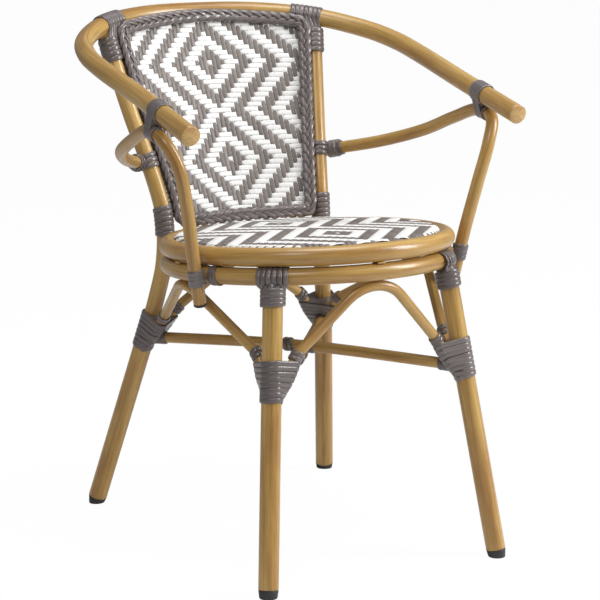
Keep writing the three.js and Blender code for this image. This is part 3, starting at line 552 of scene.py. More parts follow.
def glide_piece(leg, end_name):
    """The foot under a leg, turned on the leg's axis. Its sole is level, so it stands flat on the floor."""
    length = GLIDE_HEIGHT / leg.heading[2]
    lean = LEG_RADIUS * math.hypot(leg.heading[0], leg.heading[1])
    profile = [(AXIS, lean), (LEG_RADIUS * GLIDE_SOLE_SHARE, lean),
               (LEG_RADIUS * GLIDE_SIDE_SHARE, lean + GLIDE_EDGE), (LEG_RADIUS - 0.2, length - 1),
               (LEG_RADIUS - 0.6, length - GAP), (AXIS, length - GAP)]
    mesh = Mesh()
    lathe(mesh, leg.foot, leg.heading, profile)
    heights = mesh.points[0].reshape(len(profile), -1, 3)[..., 2]
    heights[:] = np.maximum(heights, 0.0)
    heights[:3] = np.array([0.0, 0.0, GLIDE_EDGE])[:, None]
    mesh.piece("foot_" + end_name, black_plastic, "glide_" + end_name)


tube_piece("rail", "arm_rail", rail, RAIL_RADIUS)
for side in sides:
    tube_piece("post_" + side.name, "rear_post_" + side.name, side.post, POST_RADIUS, first=(1, 0, 0),
               shift=POST_GRAIN)
for side in sides:
    tube_piece("support_" + side.name, "arm_support_" + side.name, side.support, SUPPORT_RADIUS)
for name, path in braces.items():
    tube_piece("arch_" + name, "brace_" + name, path, BRACE_RADIUS, first=(1, 1, 0))
tube_piece("cross_upper", "stretcher_upper", upper_stretcher, STRETCHER_RADIUS)
tube_piece("cross_lower", "stretcher_lower", lower_stretcher, STRETCHER_RADIUS)
tube_piece("ring_upper", "seat_ring_upper", ring_path(SEAT_HEIGHT), UPPER_RING_TUBE, closed=True)
tube_piece("ring_lower", "seat_ring_lower", lower_ring, LOWER_RING_TUBE, closed=True)
rod_ring = ring_path(SEAT_HEIGHT, SEAT_RADIUS - UPPER_RING_TUBE - GAP - SEAT_ROD)
tube_piece("inner_ring", "seat_rod_ring", rod_ring, SEAT_ROD, closed=True)
for end, drop in (("front", FRONT_LEG_DROP), ("rear", 0)):
    for side in sides:
        leg = side.legs[end]
        path = straight(leg.at(GLIDE_HEIGHT), leg.at(leg.top - drop))
        tube_piece(f"leg_{end}_{side.name}", f"{end}_leg_{side.name}", path, LEG_RADIUS, first=(1, 0, 0))
        glide_piece(leg, f"{end}_{side.name}")


# Weaves

DIAMOND_ROWS = 10
COLUMN_PITCH = 7.45
FEWEST_CROSSINGS = 3
RIM_REACH = 3
# A strand's point before, on and after each crossing, as shares of the pitch
CROSSING_STEPS = np.array([-0.34, 0.0, 0.34])
FLOAT_RISE = 0.35
TURN_LEVEL = 0.75
TURN_WIDTH = 0.86
UNDER_WIDTH = 0.8
# How far apart strands of other tones lie in the texture
TONE_SHIFT = 40
STRAND_SECTION = np.array([[-0.5, -0.15], [-0.46, 0.2], [-0.3, 0.42], [0, 0.5], [0.3, 0.42], [0.46, 0.2],
                           [0.5, -0.15], [0.4, -0.42], [0, -0.5], [-0.4, -0.42]])


def is_white(column, row):
    """Pointed twill, three over and three under, that steps out from the middle of each diamond."""
    back = (row + DIAMOND_ROWS) % (2 * DIAMOND_ROWS) - DIAMOND_ROWS
    return (abs(column) + abs(back)) % 6 in (0, 4, 5)


def strand(mesh, centres, out, widths, thickness, tone, distance, heading=None):
    """A flat strand with rounded edges; its middle line, way out and width are given point by point."""
    heading = unit(np.gradient(centres, axis=0)) if heading is None else heading
    across = unit(np.cross(heading, out))
    wide, thick = STRAND_SECTION[:, :1], STRAND_SECTION[:, 1:]
    sections = centres[:, None] + across[:, None] * (wide * widths[:, None, None])
    sections = sections + np.cross(across, heading)[:, None] * (thick * thickness)
    rest = np.zeros_like(sections)
    rest[..., 0] = STRAND_SECTION[:, 0] * widths[:, None]
    rest[..., 1] = STRAND_SECTION[:, 1] * thickness + tone * TONE_SHIFT
    rest[..., 2] = distance[:, None]
    mesh.skin(sections[:, ::-1], rest[:, ::-1], tone)


def weave_strand(mesh, surface, base, over, wave, width, thickness, tone, distance):
    """One strand over a surface, three points to a crossing; over says where it lies on top."""
    same = over[1:] == over[:-1]
    # Whether the strand stays on its side of the sheet before, at and after each crossing
    stays = np.stack([np.append(True, same), np.full(len(over), True), np.append(same, True)], 1)
    level = np.where(over, 1.0, -1.0)[:, None]
    crest = level + np.where(stays.all(1, keepdims=True), FLOAT_RISE, 0.0) * level
    offset = np.where(stays, crest, level * TURN_LEVEL).reshape(-1, 1) * wave
    full = np.where(np.repeat(over, 3), width, width * UNDER_WIDTH)
    widths = np.where(stays, 1.0, TURN_WIDTH).ravel() * full
    place, normal = surface(base)
    strand(mesh, place + normal * offset, unit(normal), widths, thickness, tone, distance)


def weave(name, surface, columns, rows, first_row, row_pitch, inside, warp, weft, wave, rim=math.inf):
    """Grey strands along the columns and white ones along the rows, each over the other where the twill says.
    warp and weft hold a width and a thickness. A rim draws the strands' ends in to its radius."""
    pitches = np.array([COLUMN_PITCH, row_pitch])
    kinds = (1, "_warp", warp, 0.2, grey_strand), (0, "_weft", weft, 0.3, white_strand)
    for axis, kind, size, darkest, material in kinds:
        mesh = Mesh()
        for own in (rows, columns)[axis]:
            cells = [(own, row) for row in rows] if axis else [(column, own) for column in columns]
            cells = [cell for cell in cells if inside(*cell)]
            aside = (own * pitches + [0, first_row])[1 - axis]
            if len(cells) < FEWEST_CROSSINGS or abs(aside) > rim - RIM_REACH:
                continue
            over = np.array([is_white(*cell) != bool(axis) for cell in cells])
            place = (np.arange(len(cells))[:, None] + CROSSING_STEPS).ravel()
            base = np.array(cells[0]) + place[:, None] * np.array([1 - axis, axis])
            base = base * pitches + [0, first_row]
            limit = np.sqrt(np.maximum(rim**2 - base[:, 1 - axis] ** 2, 0))
            base[:, axis] = np.clip(base[:, axis], -limit, limit)
            tone = float(rng.uniform(darkest, 1))
            weave_strand(mesh, surface, base, over, wave, *size, tone, place * pitches[axis])
        mesh.piece(name + kind, material, name + "_weave")


# Back panel

PANEL_INSET_FOOT = 22.5
PANEL_INSET_TOP = 20
PANEL_LEAD = 4
PANEL_FOOT = 459
PANEL_FOOT_REACH = 202
PANEL_DROP = 8
PANEL_BOW_POWER = 1.7
PANEL_CORNER = 14
CORNER_POINTS = 12
PANEL_TALL = RAIL_HEIGHT - PANEL_DROP - PANEL_FOOT
BACK_ROW_PITCH = 7.2
BACK_CENTRE_HEIGHT = 542.3
BACK_COLUMNS = range(-22, 23)
POST_LINE_FOOT = 430

post_line = right_side.post.points[right_side.post.points[:, 2] > POST_LINE_FOOT]


def post_at(height):
    return [np.interp(height, post_line[:, 2], post_line[:, axis]) for axis in (0, 1)]


def panel_side(height, t):
    """Half the panel's width at a height, to its side rod; t is the share of the way up."""
    return post_at(height)[0] - (PANEL_INSET_FOOT + (PANEL_INSET_TOP - PANEL_INSET_FOOT) * t)


def panel_top(s):
    return rail_corner[2] + (RAIL_HEIGHT - rail_corner[2]) * (1 - s**2) - PANEL_DROP


def panel_at(x, z):
    """The back panel's middle surface: straight up its middle, and following the posts at its sides."""
    x, z = np.broadcast_arrays(np.asarray(x, float), np.asarray(z, float))
    s = np.abs(x) / panel_side(z, (z - PANEL_FOOT) / PANEL_TALL)
    reach = BACK_REACH - RAIL_RADIUS - PANEL_FOOT_REACH
    middle = PANEL_FOOT_REACH + reach * (z - PANEL_FOOT) / PANEL_TALL
    side = post_at(z)[1] - PANEL_LEAD
    return np.stack([x, middle + (side - middle) * s**PANEL_BOW_POWER, z], -1)


def panel_forward(x, z, step=4.0):
    across = panel_at(x + step, z) - panel_at(x - step, z)
    up = panel_at(x, z + step) - panel_at(x, z - step)
    return unit(np.cross(across, up))


def back_surface(base):
    x, z = base.T
    return panel_at(x, z), panel_forward(x, z)


def inside_panel(column, row):
    x, z = column * COLUMN_PITCH, BACK_CENTRE_HEIGHT + row * BACK_ROW_PITCH
    half = float(panel_side(z, (z - PANEL_FOOT) / PANEL_TALL))
    return abs(x) < half and PANEL_FOOT < z < float(panel_top(x / half))


low_row = math.ceil((PANEL_FOOT - BACK_CENTRE_HEIGHT) / BACK_ROW_PITCH)
high_row = math.floor((PANEL_FOOT + PANEL_TALL - BACK_CENTRE_HEIGHT) / BACK_ROW_PITCH)
weave("back", back_surface, BACK_COLUMNS, range(low_row, high_row + 1), BACK_CENTRE_HEIGHT, BACK_ROW_PITCH,
      inside_panel, warp=(7.1, 1.5), weft=(7.8, 1.6), wave=0.95)


# Seat

WEAVE_RIM = 194.3
RIM_TURN = 7.0
RIM_TOP = 13.6
RIM_NORMAL = 2.5
STRAND_SINK = 1
SEAT_TOP = SEAT_ROD + GAP + WEAVE_THICKNESS + SEAT_CROWN - STRAND_SINK
SEAT_CENTRE_Y = -91.0
SEAT_ROW_PITCH = 8.8
SEAT_COLUMNS = range(-26, 27)
SEAT_ROWS = range(-14, 36)


def seat_lift(radius):
    """Height over the ring's middle plane: a low dome that turns down at its rim."""
    edge = WEAVE_RIM - RIM_TURN
    dome = RIM_TOP + (SEAT_TOP - RIM_TOP) * (1 - (np.minimum(radius, edge) / edge) ** 2)
    over = np.clip((radius - edge) / RIM_TURN, 0, 1)
    return dome - RIM_TURN * (1 - np.sqrt(np.maximum(1 - over**2, 0)))


def seat_place(base):
    x, y = base[:, 0], base[:, 1]
    lift = seat_lift(np.hypot(x, y))
    height = SEAT_HEIGHT - y * math.sin(SEAT_TILT) + lift * math.cos(SEAT_TILT)
    return np.stack([x, y * math.cos(SEAT_TILT) + lift * math.sin(SEAT_TILT), height], -1)


def seat_surface(base):
    radius = np.maximum(np.hypot(base[:, 0], base[:, 1]), 1)
    inner = base * np.minimum(1, (WEAVE_RIM - RIM_NORMAL) / radius)[:, None]
    across = seat_place(inner + [1, 0]) - seat_place(inner - [1, 0])
    rearward = seat_place(inner + [0, 1]) - seat_place(inner - [0, 1])
    return seat_place(base), unit(np.cross(across, rearward))


def inside_seat(column, row):
    return math.hypot(column * COLUMN_PITCH, SEAT_CENTRE_Y + row * SEAT_ROW_PITCH) < WEAVE_RIM + RIM_REACH


weave("seat", seat_surface, SEAT_COLUMNS, SEAT_ROWS, SEAT_CENTRE_Y, SEAT_ROW_PITCH, inside_seat,
      warp=(6.8, 1.4), weft=(8.2, 1.4), wave=0.8, rim=WEAVE_RIM)


# Wound strip

WIND_STEPS = 48
FIRST_SIDE = np.array([0.3, 1.0, 0.1])
SQUARE_TURN = 0.45
TUCK_TURN = 0.1
STRIP_PROUD = 0.25
SLOPE_STEP = 3
LINE_STEP = 0.8
# How much more a point ahead or behind counts than one beside, in the search for where a tube passes
AHEAD_WEIGHT = 6
LEAST_SLANT = 0.5
LINING_STEP = 1.5
LINING_SIDES = 48
# Sizes and rates of a strip's small slips along the tube
SLIPS = ((0.25, 4.1), (0.2, 9.7))


def circle_of(path, radius):
    """Where a tube beside a winding passes the plane square to it, as a centre and a radius."""
    line = path.part(0, path.length, LINE_STEP)

    def circle(points, headings):
        offsets = line.points[None] - points[:, None]
        along = np.einsum("ijk,ik->ij", offsets, headings)
        nearest = (np.abs(along) * AHEAD_WEIGHT + np.linalg.norm(offsets, axis=-1)).argmin(1)
        centres = line.points[nearest] - headings * along[np.arange(len(points)), nearest][:, None]
        slant = np.abs((line.headings[nearest] * headings).sum(1))
        return centres, radius / np.clip(slant, LEAST_SLANT, 1)
    return circle


def furthest(points, headings, out, radius, beside):
    """The circle that a taut strip lies on, for each way out: the tube's own, or one beside it."""
    centres, radii = points, np.full(len(points), float(radius))
    reach = radii.copy()
    for circle in beside:
        other_centres, other_radii = circle(points, headings)
        far = ((other_centres - points) * out).sum(1) + other_radii
        further = far > reach
        centres = np.where(further[:, None], other_centres, centres)
        radii, reach = np.where(further, other_radii, radii), np.where(further, far, reach)
    return centres, radii, reach


def wind(mesh, path, place, band, radius, beside=(), pitch=STRIP_WIDTH, width=STRIP_WIDTH, phase=0.0,
         steps=WIND_STEPS):
    """Winds strip round a tube and the circles beside it, between the band's two distances from a place."""
    start, end = place + band[0], place + band[1]
    turns = max(round((end - start - width) / pitch), 0) + 1
    turn = np.linspace(0, turns, int(turns * steps) + 1)
    # The first and last half turns lie square, so the band's edges are straight.
    gone = np.clip((turn - SQUARE_TURN) / max(turns - 2 * SQUARE_TURN, 0.1), 0, 1)
    distance = start + width / 2 + gone * (end - start - width)
    points, headings = path.at(distance), path.heading(distance)
    side, up = frames(points, headings, FIRST_SIDE)
    angle = 2 * math.pi * turn + phase
    out = side * np.cos(angle)[:, None] + up * np.sin(angle)[:, None]
    centres, radii, _ = furthest(points, headings, out, radius, beside)
    widths = np.full(len(turn), float(width))
    if beside:
        ahead = furthest(points + headings * SLOPE_STEP, headings, out, radius, beside)[2]
        behind = furthest(points - headings * SLOPE_STEP, headings, out, radius, beside)[2]
        slope = np.clip((ahead - behind) / (2 * SLOPE_STEP), -1, 1)
        out = unit(out - headings * slope[:, None])
        widths = widths * np.sqrt(1 + slope**2)
    tuck = np.clip(np.minimum(turn, turns - turn) / TUCK_TURN, 0, 1)
    lift = STRIP_PROUD + STRIP_THICKNESS * (tuck - 0.5)
    slip = sum(size * np.sin(turn * rate + rng.uniform(0, 6)) for size, rate in SLIPS)
    centres = centres + out * (radii + lift)[:, None] + headings * slip[:, None]
    strand(mesh, centres, out, widths, STRIP_THICKNESS, float(rng.uniform(0.1, 0.9)),
           lengths_along(centres) + rng.uniform(0, 900))


def lining(mesh, path, place, band, radius, beside, proud=0.4):
    """A skin under a winding round two or more tubes, so that nothing shows between its turns."""
    start, end = place + band[0], place + band[1]
    distance = np.linspace(start, end, max(3, int((end - start) / LINING_STEP)))
    points, headings = path.at(distance), path.heading(distance)
    side, up = frames(points, headings, FIRST_SIDE)
    columns = []
    for angle in np.linspace(0, 2 * math.pi, LINING_SIDES, endpoint=False):
        out = side * math.cos(angle) + up * math.sin(angle)
        centres, radii, _ = furthest(points, headings, out, radius, beside)
        columns.append(centres + out * (radii + proud)[:, None])
    skin = np.stack(columns, 1)
    mesh.skin(skin, skin, 0.0)


LAID_THICKNESS = 2.1


def laid_strip(mesh, places, outs, samples, knots, widths, darkest):
    """A strip laid through places, with its way out at each; knots are the places where widths are given."""
    line = smooth(places, samples)
    spots = np.linspace(0, len(places) - 1, len(line.points))
    out = unit(between(spots, np.arange(len(outs)), outs))
    strand(mesh, line.points, out, np.interp(spots, knots, widths), LAID_THICKNESS,
           float(rng.uniform(darkest, 1)), line.lengths, line.headings)


def spread_shares(count):
    """Places from -1 to 1 for strips that lie side by side."""
    return [(k - (count - 1) / 2) / ((count - 1) / 2) for k in range(count)]


def way_at(degrees, first, second):
    return first * math.cos(math.radians(degrees)) + second * math.sin(math.radians(degrees))


POST_WRAP = (439, 484)


def post_wrap(mesh, side):
    """Round a post, over the seat."""
    band = [side.post.where(2, height, 0.2, 0.7) for height in POST_WRAP]
    wind(mesh, side.post, 0, band, POST_RADIUS, pitch=7.5, width=7.5)


CORNER_STRIPS = 7
CORNER_INSET = 13
CORNER_SPREAD = 21.5
CORNER_DEPTHS = (56, 36)
CORNER_WAYS = range(-20, 201, 20)
CORNER_BAND = (-60, -21)
RAIL_SKIN = RAIL_RADIUS + 1.3
CORNER_WIDTHS = [5.6, 6.2, 7.2, 7.2, 6.2, 5.6]
POST_SKIN = POST_RADIUS + 1.2
POST_SPREAD = 0.86


def corner_wrap(mesh, side):
    """At a post's upper end: strips over the rail and down the post, and strip wound round these."""
    post = side.post
    spread = rail.lengths[np.linalg.norm(rail.points - mirror(rail_corner, side.sign), axis=1).argmin()]
    along = rail.heading(spread)[0]
    inward = -np.sign(along[0] * side.sign)
    downward = -post.heading(post.length)[0]
    front = unit(np.cross(along, downward))
    front = front if front[1] < 0 else -front
    for share in spread_shares(CORNER_STRIPS):
        middle = spread + inward * CORNER_INSET + share * CORNER_SPREAD
        axis, rail_along = rail.at(middle)[0], rail.heading(middle)[0]
        upward = unit(-downward + rail_along * (downward @ rail_along))
        ahead = unit(front - rail_along * (front @ rail_along))
        lateral = share * POST_SPREAD * POST_SKIN
        proud = math.sqrt(POST_SKIN**2 - lateral**2)
        outs = [way_at(degrees, ahead, upward) for degrees in CORNER_WAYS]
        places = [axis + way * RAIL_SKIN for way in outs]
        front_way, back_way = [unit(along * lateral + face * front * proud) for face in (1, -1)]
        on_front, on_back = [[post.at(post.length - depth)[0] + way * POST_SKIN for depth in CORNER_DEPTHS]
                             for way in (front_way, back_way)]
        places = on_front + places + on_back[::-1]
        outs = [front_way] * 2 + outs + [back_way] * 2
        last = len(places) - 1
        laid_strip(mesh, places, outs, 120, [0, 1, 3, last - 3, last - 1, last], CORNER_WIDTHS, 0.3)
    wind(mesh, post, post.length, CORNER_BAND, POST_RADIUS + 1.0, pitch=7.8, width=7.8)


ARM_POST_HEIGHT = 550
ARM_POST_BAND = (-12, 12)
ARM_POST_COLLARS = {"left": 15, "right": 22}
# The collar's under and over windings: shifts of both ends, height over the tube, pitch and phase
COLLAR_WINDS = ((-3, 0, 0, 6.2, 0.0), (-5, -6, 2.0, 6.0, 2.0))


def arm_post_wrap(mesh, side):
    """Where an arm support leaves its post; the photo shows a longer collar on the right."""
    post, support, collar = side.post, side.support, ARM_POST_COLLARS[side.name]
    middle = post.where(2, ARM_POST_HEIGHT, 0.3, 0.9)
    wind(mesh, post, middle, ARM_POST_BAND, POST_RADIUS + 0.4, pitch=7.0, width=7.2, phase=1.0)
    apart = np.linalg.norm(support.points[:300, None] - post.points[None], axis=-1).min(1)
    clear = support.lengths[np.argmax(apart > POST_RADIUS - 1)]
    for low, high, proud, pitch, phase in COLLAR_WINDS:
        wind(mesh, support, clear, (low, collar + high), SUPPORT_RADIUS + proud, (), pitch, 7.4, phase)


ARM_TIE = -0.395 * ARM_REACH
ARM_LINING, ARM_UNDER, ARM_OVER, SUPPORT_BAND = (-7, 7), (-13.5, 13.5), (-9.5, 9.5), (-9, 10)


def arm_wrap(mesh, side):
    """Where a support is lashed up to the arm."""
    support = side.support
    on_rail = rail.where(1, ARM_TIE, *((0.6, 1) if side.sign < 0 else (0, 0.4)))
    on_support = support.where(1, ARM_TIE, 0.2, 0.62)
    pair = [circle_of(support, SUPPORT_RADIUS)]
    lining(mesh, rail, on_rail, ARM_LINING, RAIL_RADIUS, pair)
    wind(mesh, rail, on_rail, ARM_UNDER, RAIL_RADIUS, pitch=6.6, width=7.0, phase=0.5)
    wind(mesh, rail, on_rail, ARM_OVER, RAIL_RADIUS, pair, pitch=6.4, width=6.0, phase=1.4)
    wind(mesh, support, on_support, SUPPORT_BAND, SUPPORT_RADIUS, pitch=6.4, width=7.0, phase=2.2)


PASSING_BAND = (-11, 14)
RING_BANDS = ((-22, -7), (7, 22))


def arm_ring_wrap(mesh, side):
    """Where a support passes the lower ring."""
    support = side.support
    x, y, _ = support.at(support.where(2, LOWER_RING_HEIGHT, 0.6, 1))[0]
    passing = support.where(2, LOWER_RING_HEIGHT - y * math.sin(SEAT_TILT), 0.6, 1)
    on_ring = (math.atan2(y, x) % (2 * math.pi)) * SEAT_RADIUS
    wind(mesh, support, passing, PASSING_BAND, SUPPORT_RADIUS, pitch=6.2, width=6.8, phase=0.6)
    for band in RING_BANDS:
        wind(mesh, lower_ring, on_ring, band, LOWER_RING_TUBE, pitch=7, width=7.2, phase=1.1)


TOP_STRIPS = 6
TOP_SPREAD = 18
TOP_BULGE = 7.0
TOP_WAYS = range(210, -31, -20)
TOP_DEPTHS = (5, 24)
TOP_BAND = (-27, 0)
TOP_WIND_GAP = 1.5
TOP_WIND_RADIUS = LEG_RADIUS + 1.4
TOP_LINE_FOOT = 360
RING_SKIN = LOWER_RING_TUBE + 1.2
LEG_SKIN = LEG_RADIUS + 1.1
LEG_SPREAD = 0.84
FILLER_RADIUS = LEG_RADIUS + 0.6
FILLER = [(AXIS, 0), (FILLER_RADIUS, 0), (FILLER_RADIUS, 12), (LEG_RADIUS - 1, 17), (11, 22), (AXIS, 23)]
FILLER_DEPTH = 14
under_ring = front_top[2] - LOWER_RING_TUBE


def leg_top_wrap(mesh, side):
    """Where a front leg meets the lower ring: strips over both, strip wound round these, a filler inside."""
    leg = side.legs["front"]
    angle = -FRONT_LEG_ANGLE if side.sign > 0 else math.pi + FRONT_LEG_ANGLE
    on_ring = (angle % (2 * math.pi)) * SEAT_RADIUS
    for share in spread_shares(TOP_STRIPS):
        spot = on_ring + share * TOP_SPREAD
        axis, along = lower_ring.at(spot)[0], lower_ring.heading(spot)[0]
        outward = unit(np.cross(along, [0, 0, 1.0]))
        upward = np.cross(outward, along)
        places, outs = [], []
        for degrees in TOP_WAYS:
            bulge = max(0.0, math.cos(math.radians(degrees + 25))) * TOP_BULGE * (1 - 0.4 * share**2)
            outs.append(way_at(degrees, outward, upward))
            places.append(axis + outs[-1] * (RING_SKIN + bulge))
        lean = unit(outward - leg.heading * (outward @ leg.heading))
        beside = np.cross(leg.heading, lean)
        beside = beside if beside @ along > 0 else -beside
        lateral = share * LEG_SPREAD
        way = beside * lateral + lean * math.sqrt(1 - lateral**2)
        places += [leg.at(under_ring - depth) + way * LEG_SKIN for depth in TOP_DEPTHS]
        laid_strip(mesh, places, outs + [way] * len(TOP_DEPTHS), 110, [0], [7.0], 0.2)
    lathe(mesh, leg.at(under_ring - FILLER_DEPTH), leg.heading, FILLER, tone=0.0)
    line = straight(leg.at(TOP_LINE_FOOT), leg.at(front_top[2]))
    top = line.where(2, under_ring - TOP_WIND_GAP)
    wind(mesh, line, top, TOP_BAND, TOP_WIND_RADIUS, pitch=6.6, width=7.0)


for draw, name, *nodes in (
        (post_wrap, "wrap_post_", "post_lashing_"),
        (corner_wrap, "wrap_corner_", "corner_lashing_", "corner_winding_"),
        (arm_post_wrap, "wrap_arm_post_", "arm_post_lashing_"),
        (arm_wrap, "wrap_arm_", "arm_lashing_"),
        (arm_ring_wrap, "wrap_arm_ring_", "arm_ring_lashing_"),
        (leg_top_wrap, "wrap_leg_top_", "front_leg_lashing_", "front_leg_winding_")):
    for side in sides:
        mesh = Mesh()
        draw(mesh, side)
        mesh.piece(name + side.name, grey_strip, *[node + side.name for node in nodes])


# Round the legs and the lower ends of two braces

FUNNEL_FOOT = 266
FUNNEL_TOP = 321
FUNNEL_MARGIN = 20
FUNNEL_START = FUNNEL_FOOT - 3
FUNNEL_LINING = (3, -2.5)
DRAWN_FROM = 298
BRACE_COLLAR = (0, 16)
BRACE_COLLAR_HEIGHT = FUNNEL_TOP - 5
STRETCHER_COLLAR = (14, 37)


def from_leg(path, leg, height, near):
    """The same path, turned so that it starts at this leg."""
    return path if np.linalg.norm(path.points[0] - leg.at(height)) < near else Path(path.points[::-1])


def drawn_circle(leg, brace):
    """Circles of the brace beside a leg, drawn in to the leg below the brace's end, so the lashing tapers."""
    full = circle_of(brace.part(0, 80, 1.0), BRACE_RADIUS)
    joint = leg.at(DRAWN_FROM)[None]
    centre, radius = full(joint, leg.heading[None])
    apart = (centre - joint)[0]
    narrow = LEG_RADIUS / (np.linalg.norm(apart) + radius[0])

    def circle(points, headings):
        share = (points[:, 2] - FUNNEL_FOOT) / (DRAWN_FROM - FUNNEL_FOOT)
        share = narrow + (1 - narrow) * np.clip(share, 0, 1)
        centres, radii = full(points, headings)
        above = points[:, 2] >= DRAWN_FROM
        drawn = points + apart * share[:, None]
        return np.where(above[:, None], centres, drawn), np.where(above, radii, radius[0] * share)
    return circle


for end_name, side in zip(("front", "front", "rear", "rear"), (*sides, right_side, left_side)):
    leg, name = side.legs[end_name], f"{end_name}_{side.name}"
    bar = lower_stretcher if name in ("front_left", "rear_right") else upper_stretcher
    mesh = Mesh()
    line = straight(leg.at(FUNNEL_FOOT - FUNNEL_MARGIN), leg.at(FUNNEL_TOP + FUNNEL_MARGIN), 1.0)
    ends = [from_leg(braces[brace_name], leg, BRACE_START, 60) for brace_name in (end_name, side.name)]
    low, high = line.where(2, FUNNEL_START), line.where(2, FUNNEL_TOP)
    circles = [drawn_circle(leg, end) for end in ends]
    lining(mesh, line, 0, (low + FUNNEL_LINING[0], high + FUNNEL_LINING[1]), LEG_RADIUS, circles)
    wind(mesh, line, 0, (low, high), LEG_RADIUS, circles, pitch=7.4, width=7.6, steps=96)
    for end in ends:
        collar = end.where(2, BRACE_COLLAR_HEIGHT, 0, 0.4)
        wind(mesh, end, collar, BRACE_COLLAR, BRACE_RADIUS, pitch=6.4, width=7.4)
    bar = from_leg(bar, leg, STRETCHER_HEIGHT, 30)
    wind(mesh, bar, 0, STRETCHER_COLLAR, STRETCHER_RADIUS, pitch=6.2, width=6.6)
    mesh.piece("wrap_leg_" + name, grey_strip, "leg_lashing_" + name)


# Where the stretchers cross

CROSS_BANDS = ((-25, -8), (8, 25))
mesh = Mesh()
for bar in (upper_stretcher, lower_stretcher):
    middle = bar.where(0, 0)
    for band in CROSS_BANDS:
        wind(mesh, bar, middle, band, STRETCHER_RADIUS, pitch=6.8)
mesh.piece("wrap_cross", grey_strip, "cross_lashing")


# Plaited border and the rod behind it

BORDER_DEPTH = 8
FRAME_ROD = 3.5
PLAIT_PERIOD = 80
PLAIT_POINTS = 34
PLAIT_SWAY = 7.9
PLAIT_RISE = 2.1
PLAIT_STRIP = 6.8
PLAIT_THICKNESS = 1.8
PLAIT_STRANDS = 5
PLAIT_BEND = 0.93
PLAIT_ROLL = 0.42
ROD_WRAP = 0.7
ROD_RIB = 0.9
ROD_DEPTH_SHARE = 1.7
ROD_SET_BACK = 3.5
ROD_SIDES = 14
ROD_TURN_POINTS = 6


def panel_place(s, t):
    height = PANEL_FOOT + (panel_top(s) - PANEL_FOOT) * t
    return panel_at(s * panel_side(height, t), height)


def panel_loop(lift):
    """The panel's outline with round corners, from the middle of its foot to the right and back."""
    half = rail_corner[0] - PANEL_INSET_TOP
    wide, high = half - PANEL_CORNER, PANEL_TALL - PANEL_CORNER
    corners = ((wide, PANEL_CORNER, -90), (wide, high, 0), (-wide, high, 90), (-wide, PANEL_CORNER, 180))
    outline = [(0, 0, 0)]
    for x, y, start in corners:
        for angle in np.radians(np.linspace(start, start + 90, CORNER_POINTS)):
            outline.append((x + PANEL_CORNER * math.cos(angle), y + PANEL_CORNER * math.sin(angle), 0))
    outline.append((0, 0, 0))
    flat = Path(outline)
    dense = flat.at(np.linspace(0, flat.length, int(flat.length)))
    place = panel_place(dense[:, 0] / half, dense[:, 1] / PANEL_TALL)
    way = panel_forward(place[:, 0], place[:, 2])
    return Path(place + way * lift), way


def along_loop(loop, ways, distance):
    """Places on the loop, and the ways forward and across there."""
    way = unit(between(distance, loop.lengths, ways))
    return loop.at(distance), way, unit(np.cross(loop.heading(distance), way))


mesh = Mesh()
loop, ways = panel_loop(FRAME_ROD + GAP + BORDER_DEPTH / 2)
periods = round(loop.length / PLAIT_PERIOD)
distance = np.linspace(0, loop.length, periods * PLAIT_POINTS + 1)
middle, way, across = along_loop(loop, ways, distance)
for k in range(PLAIT_STRANDS):
    phase = 2 * math.pi * (distance / loop.length * periods + k / PLAIT_STRANDS)
    swing = np.arcsin(PLAIT_BEND * np.sin(phase)) / math.asin(PLAIT_BEND)
    line = middle + across * (PLAIT_SWAY * swing)[:, None] + way * (PLAIT_RISE * np.sin(2 * phase))[:, None]
    out = unit(way + across * (PLAIT_ROLL * np.sin(phase))[:, None])
    strand(mesh, line, out, np.full(len(line), PLAIT_STRIP), PLAIT_THICKNESS, float(rng.uniform(0.3, 1)),
           distance)

# Strip wound close round the rod, behind the plait, deeper than it is wide
loop, ways = panel_loop(0)
turns = round(loop.length / STRIP_WIDTH)
distance = np.linspace(0, loop.length, turns * ROD_TURN_POINTS, endpoint=False)
middle, way, across = along_loop(loop, ways, distance)
ribs = np.abs(np.sin(math.pi * turns * distance / loop.length)) ** 0.5
radii = (FRAME_ROD + ROD_WRAP + ROD_RIB * ribs)[:, None, None]
angle = np.linspace(0, 2 * math.pi, ROD_SIDES, endpoint=False)[None, :, None]
sections = (middle - way * ROD_SET_BACK)[:, None] + radii * (
    across[:, None] * np.cos(angle) + way[:, None] * np.sin(angle) * ROD_DEPTH_SHARE)
mesh.skin(sections, sections, 0.2, closed=True)
mesh.piece("plait", grey_strip, "back_border")
mesh = Mesh()
tube(mesh, loop, FRAME_ROD, sides=12, closed=True)
mesh.piece("frame_rod", bamboo, "back_frame")


# Caps, plugs and spacers

# Edges as (distance in from the side, distance out along the axis), from the tube's end outwards
CAP_EDGES = ((0, 0), (0, 1.5), (0.3, 2.1), (1, 2.5))
CAP_HEIGHT = 2.5
PLUG_EDGES = ((0, 0), (0, 2.6), (1.2, 3.8))
PLUG_HEIGHT = 4
SADDLE_ROD = 1.9
SADDLE_HALF = 6
SADDLE_OUTSET = 7
STUB_RADIUS = 7


def end_piece(name, node, material, place, outward, radius, edges, height):
    """A cap or plug on the end of a tube."""
    profile = [(AXIS, 0)] + [(radius - inset, along) for inset, along in edges] + [(AXIS, height)]
    mesh = Mesh()
    lathe(mesh, place + outward * GAP, outward, profile)
    mesh.piece(name, material, node)


